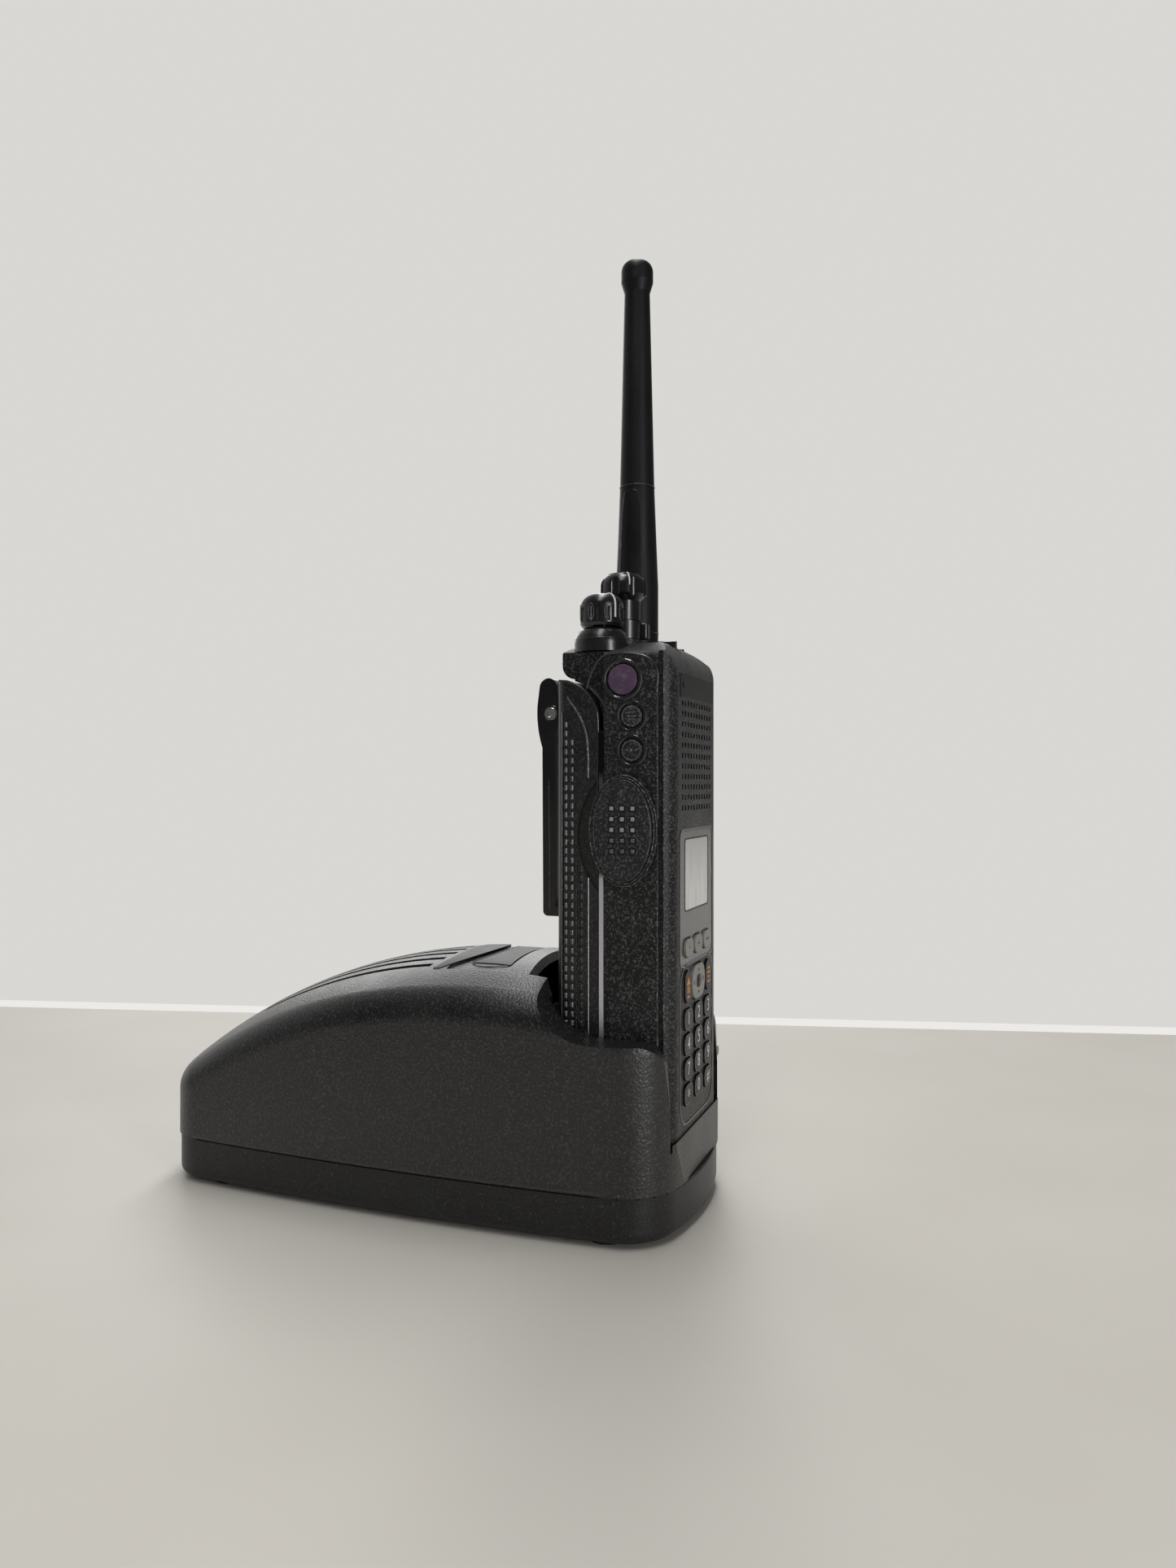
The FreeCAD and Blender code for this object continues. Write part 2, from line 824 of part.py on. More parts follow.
def pocket_box(grow, low):
    half = size("radio_width / 2 + pocket_gap") + grow
    back = -size("battery_back - pocket_gap") + grow
    front = -size("radio_front") - grow
    return world_box((-half, half), (front, back), (low, size("hump_height + cut_reach")))


def bevel_cut():
    """The slanted scoop behind the radio, narrower than the pocket."""
    back = -size("battery_back - pocket_gap")
    top = size("hump_height")
    half = size("radio_width / 2 + pocket_gap - bevel_inset")
    low = top - size("bevel_drop")
    clear = top + size("cut_reach")
    points = [Vector(-half, back, low), Vector(-half, back + size("pocket_bevel"), top),
              Vector(-half, back + size("pocket_bevel"), clear),
              Vector(-half, back, clear), Vector(-half, back, low)]
    return Part.Face(Part.makePolygon(points)).extrude(Vector(2 * half, 0, 0))


def slot_cuts():
    count = int(size("slot_count"))
    width = size("slot_width")
    cuts = []
    for index in range(count):
        x = (index - (count - 1) / 2) * size("slot_pitch")
        share = (2 * x / (count * size("slot_pitch"))) ** 2
        front = -size("slot_front") + size("slot_curve") * share
        rear = size("slot_rear") - size("slot_curve") * share
        cuts.append(world_box((x - width / 2, x + width / 2), (front, rear),
                              (size("parting_height + shell_wall + cut_reach"),
                               size("hump_height + cut_reach"))))
    return cuts


def make_top_housing():
    low = size("parting_height")
    wall = size("shell_wall")
    high = size("hump_height + cut_reach")
    form = plan_prism(0, low, high).common(hump_solid(0))

    def on_shoulder(edge):
        box = edge.BoundBox
        return box.ZMin > low + 10 and box.YLength > 0.5 and max(-box.XMin, box.XMax) > 5

    form = form.makeFillet(size("hump_shoulder"), [e for e in form.Edges if on_shoulder(e)])
    form = form.cut(mouth_cut(0))
    inner = plan_prism(wall, low, high).common(hump_solid(wall))
    inner = inner.cut(mouth_cut(wall)).cut(pocket_box(size("pocket_wall"), low))
    half_mouth = size("mouth_width / 2")
    front = -size("charger_length")
    lip = size("lip_height")
    half_pocket = size("radio_width / 2 + pocket_gap")
    opening = world_box((-half_pocket, half_pocket), (front, -size("battery_back")),
                        (lip, high))
    setback = -size("charger_length / 2 - lip_setback")
    face_cut = world_box((-half_mouth, half_mouth), (front, setback), (0, high))
    pocket = pocket_box(0, size("pocket_floor"))
    posts = [Part.makeCylinder(size("boss_radius"), high - low, Vector(x, y, low))
             for x, y in four_corners("screw_spread_x", "screw_spread_y")]
    holes = [Part.makeCylinder(size("screw_radius"), size("screw_length"), Vector(x, y, low))
             for x, y in four_corners("screw_spread_x", "screw_spread_y")]
    for post in posts:
        inner = inner.cut(post)
    housing = form.cut([inner, pocket, opening, face_cut, bevel_cut()] + slot_cuts() + holes)
    half_field = size("field_width / 2")
    field = world_box((-half_field, half_field), (-size("field_front"), -size("field_rear")),
                      (low, high)).cut(hump_solid(size("field_depth")))
    housing = housing.cut(field)
    seat = -size("status_light_front - status_light_length")
    light = Part.makeCylinder(size("status_light_radius"), size("charger_length"),
                              Vector(size("status_light_x"), seat,
                                     size("status_light_level")), Vector(0, -1, 0))
    housing = housing.cut(light)
    thing = DOC.addObject("Part::Feature", "top_housing")
    thing.Shape = housing.removeSplitter()
    return sub_part("top_housing", thing)


def four_corners(spread_x, spread_y):
    """The four places of a rectangle's corners."""
    half_x = size(spread_x + " / 2")
    half_y = size(spread_y + " / 2")
    return [(x, y) for x in (-half_x, half_x) for y in (-half_y, half_y)]


def make_base_tray():
    low = size("tray_bottom")
    high = size("parting_height")
    inset = size("tray_inset")
    outer = plan_prism(inset, low, high)
    rim = [e for e in outer.Edges if abs(e.BoundBox.ZMax - low) < 1e-3]
    outer = outer.makeFillet(size("tray_edge"), rim)
    inner = plan_prism(inset + size("shell_wall"), low + size("tray_floor"), high)
    tray = outer.cut(inner)
    deep = high - low
    for x, y in four_corners("screw_spread_x", "screw_spread_y"):
        post = Part.makeCylinder(size("boss_radius"), deep, Vector(x, y, low))
        tray = tray.fuse(post)
        hole = Part.makeCylinder(size("screw_radius"), deep, Vector(x, y, low))
        sink = Part.makeCylinder(size("screw_head_radius + screw_play"),
                                 size("screw_head_height + screw_sink"), Vector(x, y, low))
        tray = tray.cut([hole, sink])
    for x, y in four_corners("foot_spread_x", "foot_spread_y"):
        seat = Part.makeCylinder(size("foot_radius"), size("foot_seat"), Vector(x, y, low))
        tray = tray.cut(seat)
    half = size("inlet_width / 2")
    rear = size("charger_length / 2")
    notch = world_box((-half, half), (rear - size("inlet_notch"), rear + size("cut_reach")),
                      (size("inlet_level - inlet_height / 2"),
                       size("inlet_level + inlet_height / 2")))
    tray = tray.cut(notch)
    for x in (-1, 1):
        for y in (-1, 1):
            spot = Vector(x * size("board_width / 2 - board_post_inset"),
                          y * size("board_length / 2 - board_post_inset"),
                          low + size("tray_floor"))
            rise = size("board_height") - spot.z
            tray = tray.fuse(Part.makeCylinder(size("boss_radius") / 2, rise, spot))
    thing = DOC.addObject("Part::Feature", "base_tray")
    thing.Shape = tray.removeSplitter()
    return sub_part("base_tray", thing)


# Places of the four contacts, in pitches from the middle
CONTACT_STEPS = (-1.5, -0.5, 0.5, 1.5)


def make_charger():
    make_base_tray()
    make_top_housing()
    feet = [rod("foot", "foot_radius", "foot_height", f"{x} * foot_spread_x / 2",
                f"{y} * foot_spread_y / 2", "0") for x in (-1, 1) for y in (-1, 1)]
    sub_part("rubber_feet", join("rubber_feet", feet))
    screws = []
    for x in (-1, 1):
        for y in (-1, 1):
            across = f"{x} * screw_spread_x / 2"
            along = f"{y} * screw_spread_y / 2"
            base = "tray_bottom + screw_sink"
            head = rod("head", "screw_head_radius", "screw_head_height", across, along, base)
            shank = rod("shank", "screw_radius - thread_play",
                        "parting_height + screw_bite - tray_bottom",
                        across, along, base)
            screws.append(join("screw", [head, shank]))
    sub_part("tray_screws", join("tray_screws", screws))
    slab("charger_board", "top", "board_width", "board_length", "board_corner",
         "board_thickness", "0", "0", "board_height")
    contacts = []
    for step in CONTACT_STEPS:
        leaf = brick("contact", "contact_width", "contact_thickness", "contact_rise",
                     f"{step} * contact_pitch - contact_width / 2",
                     "0 - battery_back + pocket_gap - contact_thickness", "contact_level")
        contacts.append(leaf)
    sub_part("charger_contacts", join("charger_contacts", contacts))
    body = slab("power_inlet", "front", "inlet_width - inlet_play",
                "inlet_height - inlet_play", "inlet_corner", "inlet_length", "0",
                "charger_length / 2 - inlet_set - inlet_length",
                "inlet_level")
    ring = new_sketch(body, "front", "inlet_length - inlet_bore_depth")
    draw_circle(ring, "inlet_bore")
    draw_circle(ring, "inlet_pin")
    cut_pocket(body, ring, "inlet_bore_depth")
    lens = rod("status_light", "status_light_radius", "status_light_length",
               "status_light_x", "0 - status_light_front",
               "status_light_level", TO_BACK)
    sub_part("status_light", lens)


# Battery

BATTERY_FRONT = "battery_back + battery_depth"
BATTERY_TOP = "battery_arch_level + battery_arch_radius"


def make_battery():
    half = "battery_width / 2"
    front = f"0 - ({BATTERY_FRONT})"
    body = profile_block("battery_case", "top", [
        (f"0 - {half}", front),
        (half, front),
        (half, "0 - battery_back - battery_corner", "battery_corner", 1),
        (f"{half} - battery_corner", "0 - battery_back"),
        (f"battery_corner - {half}", "0 - battery_back", "battery_corner", 1),
        (f"0 - {half}", "0 - battery_back - battery_corner"),
    ], "pocket_floor", f"{BATTERY_TOP} - pocket_floor")
    arch = new_sketch(body, "side", f"0 - {half} - over_cut")
    draw_path(arch, [
        (front, "battery_arch_level", "battery_arch_radius", -1),
        (f"{front} + battery_arch_radius", BATTERY_TOP),
        (f"{front} + battery_arch_radius", f"{BATTERY_TOP} + over_cut"),
        (f"{front} - over_cut", f"{BATTERY_TOP} + over_cut"),
        (f"{front} - over_cut", "battery_arch_level"),
    ])
    cut_pocket(body, arch, "battery_width + 2 * over_cut")
    low = "pocket_floor + battery_floor"
    high = "battery_arch_level - battery_head"
    middle = f"({low} + {high}) / 2"
    tall = f"{high} - ({low})"
    hollow(body, "front", "battery_width - 2 * battery_wall", tall,
           "battery_hollow_corner", "0", middle, f"0 - ({BATTERY_FRONT})",
           "battery_depth - battery_wall")
    hollow(body, "top", "latch_width + 2 * latch_gap", "latch_depth + 2 * latch_gap",
           "latch_corner", "0", "0 - battery_back - latch_set", "pocket_floor",
           "latch_lift + latch_height + latch_travel + latch_gap")
    for side in ("0 - battery_width / 2", "battery_width / 2 - scallop_depth"):
        groove = new_sketch(body, "side", side)
        draw_circle(groove, "scallop_radius", "0 - scallop_y", "scallop_level")
        draw_circle(groove, "scallop_radius - scallop_width", "0 - scallop_y",
                    "scallop_level")
        cut_pocket(body, groove, "scallop_depth")
    slab("battery_lid", "front", "battery_width - 2 * battery_wall - lid_play",
         f"{tall} - lid_play", "battery_hollow_corner", "battery_lid_thickness", "0",
         f"0 - ({BATTERY_FRONT})", middle)
    cells = []
    for row in (0, 1):
        for step in (-1, 0, 1):
            cells.append(brick("cell", "cell_width", "cell_depth", "cell_height",
                               f"{step} * (cell_width + cell_gap) - cell_width / 2",
                               "0 - battery_back - battery_wall - cell_depth",
                               f"cell_base + {row} * (cell_height + cell_gap)"))
    sub_part("battery_cells", join("battery_cells", cells))
    pads = []
    for step in CONTACT_STEPS:
        pads.append(brick("pad", "contact_width + 2 * pad_margin", "pad_thickness",
                          "contact_rise",
                          f"{step} * contact_pitch - contact_width / 2 - pad_margin",
                          "0 - battery_back", "contact_level"))
    sub_part("battery_contacts", join("battery_contacts", pads))
    slab("battery_latch", "top", "latch_width", "latch_depth", "latch_corner",
         "latch_height", "0", "0 - battery_back - latch_set", "pocket_floor + latch_lift")


PIN_Y = "0 - battery_back + clip_pin_stand"


def make_clip():
    plate = brick("bracket_plate", "bracket_width", "bracket_plate", "bracket_height",
                  "0 - bracket_width / 2", "0 - battery_back",
                  "clip_pin_level - bracket_height / 2")
    ears = []
    for edge in ("0 - bracket_width / 2", "bracket_width / 2 - bracket_ear"):
        web = brick("ear", "bracket_ear", "clip_pin_stand", "2 * bracket_ear_radius", edge,
                    "0 - battery_back", "clip_pin_level - bracket_ear_radius")
        nose = rod("ear_end", "bracket_ear_radius", "bracket_ear", edge, PIN_Y,
                   "clip_pin_level", TO_RIGHT)
        ears += [web, nose]
    solid = join("bracket_solid", [plate] + ears)
    hole = rod("bracket_hole", "clip_pin_radius", "bracket_width + 2 * over_cut",
               "0 - bracket_width / 2 - over_cut", PIN_Y, "clip_pin_level", TO_RIGHT)
    bracket = DOC.addObject("Part::Cut", "clip_bracket")
    bracket.Base = solid
    bracket.Tool = hole
    sub_part("clip_bracket", bracket)
    shaft = rod("pin_shaft", "clip_pin_radius", "clip_width", "0 - clip_width / 2", PIN_Y,
                "clip_pin_level", TO_RIGHT)
    left = "0 - clip_width / 2 - pin_stand"
    right = "clip_width / 2 + pin_stand"
    heads = [rod("pin_head", "clip_pin_head", "pin_head_depth", edge, PIN_Y,
                 "clip_pin_level", TO_RIGHT)
             for edge in (f"{left} - pin_head_depth", right)]
    necks = [rod("pin_neck", "clip_pin_radius", "pin_neck_depth", edge, PIN_Y,
                 "clip_pin_level", TO_RIGHT)
             for edge in (f"{left} - pin_stand", f"{right} - 2 * pin_stand")]
    sub_part("clip_pin", join("clip_pin", [shaft] + heads + necks))
    coil = rod("coil", "spring_radius", "spring_width", "0 - spring_width / 2", PIN_Y,
               "clip_pin_level", TO_RIGHT)
    core = rod("coil_core", "clip_pin_radius + spring_play",
               "spring_width + 2 * over_cut", "0 - spring_width / 2 - over_cut", PIN_Y,
               "clip_pin_level", TO_RIGHT)
    spring = DOC.addObject("Part::Cut", "clip_spring")
    spring.Base = coil
    spring.Tool = core
    sub_part("clip_spring", spring)
    outer = "0 - battery_back + clip_stand"
    inner = f"{outer} - clip_depth"
    clip = profile_block("belt_clip", "side", [
        (f"{inner} - clip_hook + clip_tip", "clip_bottom"),
        (f"{outer} - clip_toe", "clip_bottom", "clip_toe_rise", 1),
        (outer, "clip_bottom + clip_toe_rise"),
        (f"{outer} + clip_bow", "clip_pin_level - clip_neck", "clip_bow_round", 1),
        (f"{outer} + clip_brow", "clip_pin_level + clip_brow_rise"),
        (f"{outer} + clip_crown", "clip_top - clip_crown_drop", "clip_crown_round", 1),
        (f"{outer} - clip_back", "clip_top", "clip_back_round", 1),
        (f"{outer} - clip_thumb", "clip_top - clip_thumb_drop"),
        (f"{outer} - clip_waist", "clip_pin_level"),
        (inner, "clip_pin_level - clip_waist_drop"),
        (inner, "clip_bottom + clip_hook_rise"),
        (f"{inner} - clip_hook + clip_tip", "clip_bottom + clip_tip_rise"),
    ], "0 - clip_width / 2", "clip_width")
    hollow(clip, "front", "clip_width - 2 * clip_wall", "clip_bay_height",
           "clip_bay_corner", "0", "clip_bottom + clip_bay_level",
           f"{inner} - clip_bay_over", "clip_depth + clip_bay_over - clip_plate")
    hollow(clip, "front", "bracket_width + clip_eye_play", "clip_eye_height",
           "clip_eye_corner", "0", "clip_pin_level - clip_eye_drop",
           f"{outer} - clip_eye_depth", "clip_eye_depth - clip_plate + clip_eye_deeper")
    drill(clip, "side", "clip_pin_radius + pin_play", PIN_Y, "clip_pin_level",
          "0 - clip_width / 2 - over_cut", "clip_width + 2 * over_cut")


# Radio housing

def make_front_housing():
    half = "radio_width / 2"
    flat = "front_flat_width / 2"
    groove_front = "side_front + groove_width"
    outline = [
        (f"0 - {half} + side_lean", "0 - radio_back"),
        (f"0 - {half}", "0 - radio_back - back_step"),
        (f"0 - {half}", "0 - side_front"),
        (f"0 - {half} + groove_depth", "0 - side_front"),
        (f"0 - {half} + groove_depth", f"0 - ({groove_front})"),
        (f"0 - {half} + front_lean", f"0 - ({groove_front})", "front_corner_radius", 1),
        (f"0 - {flat}", "0 - radio_front"),
        (flat, "0 - radio_front", "front_corner_radius", 1),
        (f"{half} - front_lean", f"0 - ({groove_front})"),
        (f"{half} - groove_depth", f"0 - ({groove_front})"),
        (f"{half} - groove_depth", "0 - side_front"),
        (half, "0 - side_front"),
        (half, "0 - radio_back - back_step"),
        (f"{half} - side_lean", "0 - radio_back"),
    ]
    body = profile_block("front_housing", "top", outline, "radio_base",
                         "radio_top + over_cut - radio_base")
    lobe_base = f"{BATTERY_TOP} + arch_gap"
    shoulder = new_sketch(body, "side", "0 - shoulder_width / 2")
    draw_path(shoulder, [
        ("0 - radio_back - shoulder_round", "battery_arch_level"),
        ("0 - shoulder_back - shoulder_round", "battery_arch_level"),
        ("0 - shoulder_back - shoulder_round", lobe_base, "shoulder_round", 1),
        ("0 - shoulder_back", f"{lobe_base} + shoulder_round"),
        ("0 - shoulder_back", "radio_top - shoulder_drop - shoulder_round",
         "shoulder_round", 1),
        ("0 - shoulder_back - shoulder_round", "radio_top - shoulder_drop"),
        ("0 - radio_back - shoulder_round", "radio_top - shoulder_drop"),
    ])
    raise_pad(body, shoulder, "shoulder_width")
    drill(body, "side", "battery_arch_radius + arch_gap",
          f"0 - ({BATTERY_FRONT}) + battery_arch_radius", "battery_arch_level",
          "0 - radio_width / 2 - over_cut", "radio_width + 2 * over_cut")
    crown = new_sketch(body, "side", "0 - radio_width")
    draw_path(crown, [
        ("0 - radio_front - cut_margin", "radio_top - brow_drop - front_brow"),
        ("0 - radio_front", "radio_top - brow_drop - front_brow", "front_brow", -1),
        ("0 - radio_front + front_brow", "radio_top - brow_drop"),
        ("0 - radio_back", "radio_top"),
        ("0 - radio_back", "radio_top + cut_margin"),
        ("0 - radio_front - cut_margin", "radio_top + cut_margin"),
    ])
    cut_pocket(body, crown, "2 * radio_width")
    dome = new_sketch(body, "front", "0 - radio_front - cut_margin")
    draw_path(dome, [
        (f"0 - {half} - cut_margin", "radio_top - dome_side"),
        (f"0 - {half}", "radio_top - dome_side", "dome_corner", -1),
        (f"0 - {half} + dome_corner", "radio_top - dome_edge", "crown_radius", -1),
        (f"{half} - dome_corner", "radio_top - dome_edge", "dome_corner", -1),
        (half, "radio_top - dome_side"),
        (f"{half} + cut_margin", "radio_top - dome_side"),
        (f"{half} + cut_margin", "radio_top + cut_margin"),
        (f"0 - {half} - cut_margin", "radio_top + cut_margin"),
    ])
    cut_pocket(body, dome, "radio_front - shoulder_back + 2 * cut_margin")
    ring = new_sketch(body, "side", f"0 - {half} - talk_ring_rise")
    draw_oval(ring, "talk_width + 2 * talk_ring", "talk_height + 2 * talk_ring",
              "0 - talk_centre_y", "talk_level")
    raise_pad(body, ring, "talk_ring_rise")
    inside = new_sketch(body, "side", f"0 - {half} - talk_ring_rise")
    draw_oval(inside, "talk_width + 2 * talk_gap", "talk_height + 2 * talk_gap",
              "0 - talk_centre_y", "talk_level")
    cut_pocket(body, inside, "talk_ring_rise")
    carve_front(body)
    carve_top(body)
    carve_sides(body)
    hollow(body, "front", "radio_width - 2 * side_wall",
           "cavity_top - radio_base - end_wall", "cavity_corner", "0",
           "(cavity_top + radio_base + end_wall) / 2", "0 - radio_front + front_wall",
           "radio_front - front_wall - radio_back")


def carve_front(body):
    front = "0 - radio_front"
    hollow(body, "front", "lens_width + lens_play", "lens_height + lens_play",
           "lens_corner", "0", "lens_base + lens_height / 2", front, "lens_well")
    hollow(body, "front", "lens_width + lens_play", "keypad_height + lens_play",
           "keypad_corner", "0", "keypad_base + keypad_height / 2", front, "keypad_well")
    row = new_sketch(body, "front", front)
    half = size("grille_hole / 2")
    level = size("grille_base")
    for step in range(int(size("grille_count"))):
        across = (step - size("(grille_count - 1) / 2")) * size("grille_pitch")
        corners = [Vector(across + x * half, level + z * half, 0)
                   for x, z in ((-1, -1), (1, -1), (1, 1), (-1, 1))]
        sketch_loop(row, corners)
    pocket = cut_pocket(body, row, "grille_depth")
    repeat(body, pocket, [("Z_Axis", "grille_pitch", "grille_count")])


def carve_top(body):
    over = "cut_reach"
    drill(body, "top", "volume_collar_radius + collar_play", "0 - volume_x", "0 - volume_y",
          "volume_collar_base", over)
    boss = new_sketch(body, "top", "boss_top - boss_height")
    draw_circle(boss, "ring_radius", "0", "0 - channel_y")
    raise_pad(body, boss, "boss_height")
    drill(body, "top", "shaft_radius + shaft_play", "0", "0 - channel_y",
          "boss_top - shaft_depth", over)
    drill(body, "top", "bushing_radius", "antenna_x", "0 - antenna_y", "bushing_base", over)
    drill(body, "top", "top_button_radius + top_button_play", "top_button_x",
          "0 - top_button_y", "top_button_top - top_button_length - top_button_travel"
          " - top_button_floor", over)
    drill(body, "top", "led_radius", "led_x", "0 - led_y", "led_top - led_length", over)
    hollow(body, "top", "toggle_slot_width", "toggle_slot_length", "toggle_slot_corner",
           "0 - toggle_x", "0 - toggle_y", "toggle_pivot_level - toggle_well", over)


def carve_sides(body):
    wall = "0 - radio_width / 2"
    wells = [("select_radius", "select_y", "select_level"),
             ("side_button_radius", "side_button_y", "side_button_upper_level"),
             ("side_button_radius", "side_button_y", "side_button_lower_level")]
    for radius, along, level in wells:
        drill(body, "side", f"{radius} + side_button_gap", f"0 - {along}", level, wall,
              "side_well")
    hollow(body, "side", "cover_width + cover_play", "cover_height + cover_play",
           "cover_corner", "0 - cover_y", "cover_level", "radio_width / 2 - cover_seat", "cover_seat")


def make_radio_insides():
    slab("rear_chassis", "front", "radio_width - chassis_play",
         "battery_arch_level - radio_base - chassis_headroom", "chassis_corner",
         "chassis_thickness", "0", "0 - radio_back", "(battery_arch_level + radio_base) / 2")
    slab("main_board", "front", "main_board_width", "main_board_height",
         "main_board_corner", "main_board_thickness", "0", "0 - main_board_front",
         "main_board_base + main_board_height / 2")
    grille_middle = "grille_base + (grille_count - 1) * grille_pitch / 2"
    sub_part("speaker", rod("speaker", "speaker_radius", "speaker_depth", "0",
                            "0 - radio_front + front_wall", grille_middle, TO_BACK))
    sub_part("microphone", rod("microphone", "microphone_radius", "microphone_length",
                               "microphone_x", "0 - radio_front + front_wall",
                               "microphone_level", TO_BACK))
    switches = []
    levels = [("select_y", "select_level"), ("side_button_y", "side_button_upper_level"),
              ("side_button_y", "side_button_lower_level"), ("talk_centre_y", "talk_level")]
    for along, level in levels:
        switches.append(brick("switch", "switch_depth", "switch_width", "switch_height",
                              "0 - radio_width / 2 + side_wall",
                              f"0 - {along} - switch_width / 2",
                              f"{level} - switch_height / 2"))
    sub_part("control_switches", join("control_switches", switches))


# Display and keypad

def number_keys():
    """Place of each number key: name, across, level."""
    names = ["key_star", "key_0", "key_hash", "key_7", "key_8", "key_9",
             "key_4", "key_5", "key_6", "key_1", "key_2", "key_3"]
    keys = []
    for index, name in enumerate(names):
        row, column = divmod(index, 3)
        keys.append((name, f"{column - 1} * key_pitch_x",
                     f"key_bottom_row + {row} * key_pitch_z"))
    return keys


MENU_KEYS = [("menu_key_left", "0 - menu_pitch"), ("menu_key_middle", "0"),
             ("menu_key_right", "menu_pitch")]
ICON_KEYS = [("home_key", "0 - icon_key_x"), ("data_key", "icon_key_x")]


def make_display_and_keypad():
    front = "0 - radio_front"
    lens = slab("display_lens", "front", "lens_width", "lens_height", "lens_corner",
                "lens_thickness", "0", front, "lens_base + lens_height / 2")
    middle = "lens_base + lens_height / 2"
    hollow(lens, "front", "window_width", "window_height", "window_corner", "0",
           f"window_base + window_height / 2 - ({middle})", "0", "lens_thickness")
    slab("display_panel", "front", "panel_width", "panel_height", "panel_corner",
         "panel_thickness", "0", f"{front} + lens_thickness", "window_base + window_height / 2")
    plate = slab("keypad_plate", "front", "lens_width", "keypad_height", "keypad_corner",
                 "keypad_thickness", "0", front, "keypad_base + keypad_height / 2")
    centre = "keypad_base + keypad_height / 2"
    gap = "2 * key_gap"
    key_y = f"{front} - key_rise"
    hole = new_sketch(plate, "front")
    draw_rectangle(hole, f"key_width + {gap}", f"key_height + {gap}",
                   "key_corner + key_gap", "0 - key_pitch_x",
                   f"key_bottom_row - ({centre})")
    pocket = cut_pocket(plate, hole, "keypad_thickness")
    repeat(plate, pocket, [("X_Axis", "key_pitch_x", "key_columns"),
                           ("Z_Axis", "key_pitch_z", "key_rows")])
    for name, across, level in number_keys():
        slab(name, "front", "key_width", "key_height", "key_corner", "key_length",
             across, key_y, level)
    for name, across in ICON_KEYS:
        hollow(plate, "front", f"icon_key_width + {gap}", f"icon_key_height + {gap}",
               "icon_key_corner", across, f"nav_level - ({centre})", "0",
               "keypad_thickness")
        slab(name, "front", "icon_key_width", "icon_key_height", "icon_key_corner",
             "key_length", across, key_y, "nav_level")
    hollow(plate, "front", "nav_width + 2 * nav_tilt_gap", "nav_height + 2 * nav_tilt_gap",
           "nav_hole_corner", "0", f"nav_level - ({centre})", "0", "keypad_thickness")
    nav = slab("nav_rocker", "front", "nav_width", "nav_height", "nav_corner",
               "key_length - nav_shorter", "0", key_y, "nav_level")
    hollow(nav, "front", "nav_eye_width", "nav_eye_height", "nav_eye_corner", "0", "0",
           "0", "key_rise")
    for name, across in MENU_KEYS:
        hollow(lens, "front", f"menu_width + {gap}", f"menu_height + {gap}",
               "menu_corner", across, f"menu_level - ({middle})", "0", "lens_thickness")
        slab(name, "front", "menu_width", "menu_height", "menu_corner",
             "lens_thickness + key_rise - menu_sink", across, key_y, "menu_level")
    slab("keypad_sheet", "front", "lens_width - sheet_margin", "keypad_height - sheet_margin",
         "keypad_corner", "dome_sheet_thickness", "0", f"{front} + keypad_well - dome_sheet_thickness",
         centre)


# Controls on the side and the top

def make_side_controls():
    wall = "0 - radio_width / 2"
    body = new_body("ptt_button")
    sketch = new_sketch(body, "side", f"{wall} - talk_rise")
    draw_oval(sketch, "talk_width", "talk_height", "0 - talk_centre_y", "talk_level")
    raise_pad(body, sketch, "talk_thickness")
    outer = size(f"{wall} - talk_rise")
    round_edges(body, "talk_edge", lambda edge: abs(edge.BoundBox.XMax - outer) < 1e-3)
    buttons = [("select_button", "select_radius", "select_y", "select_level"),
               ("side_button_upper", "side_button_radius", "side_button_y",
                "side_button_upper_level"),
               ("side_button_lower", "side_button_radius", "side_button_y",
                "side_button_lower_level")]
    for name, radius, along, level in buttons:
        body = new_body(name, f"{wall} - side_button_rise", f"0 - {along}", level)
        sketch = new_sketch(body, "side")
        draw_circle(sketch, radius)
        raise_pad(body, sketch, "side_button_length")
        round_edges(body, "side_button_edge", lambda edge: edge.BoundBox.XMax
                    < body.Shape.BoundBox.XMin + 0.01)
    slab("connector_cover", "side", "cover_width", "cover_height", "cover_corner",
         "cover_thickness", "radio_width / 2 - cover_seat", "0 - cover_y", "cover_level")


def turned_body(label, path, x, y, z):
    """A round piece: its outline is drawn in the front plane, beside its own axis."""
    body = new_body(label, x, y, z)
    sketch = new_sketch(body, "front")
    draw_path(sketch, path)
    revolve(body, sketch, "Z_Axis")
    return body


def cut_flutes(body, count, radius, reach, low, high):
    """Round flutes down the side of a knob."""
    sketch = new_sketch(body, "top", low)
    draw_circle(sketch, radius, reach, "0")
    pocket = cut_pocket(body, sketch, high)
    before = body.Shape.Volume
    ring = body.newObject("PartDesign::PolarPattern", body.Label + "_flutes")
    ring.Originals = [pocket]
    axis = next(a for a in body.Origin.OriginFeatures if a.Role == "Z_Axis")
    ring.Axis = (axis, [""])
    ring.Angle = 360
    bind(ring, "Occurrences", count)
    body.Tip = ring
    DOC.recompute()
    if not body.Shape.Volume < before:
        raise RuntimeError(f"the flutes of {body.Label} cut nothing")


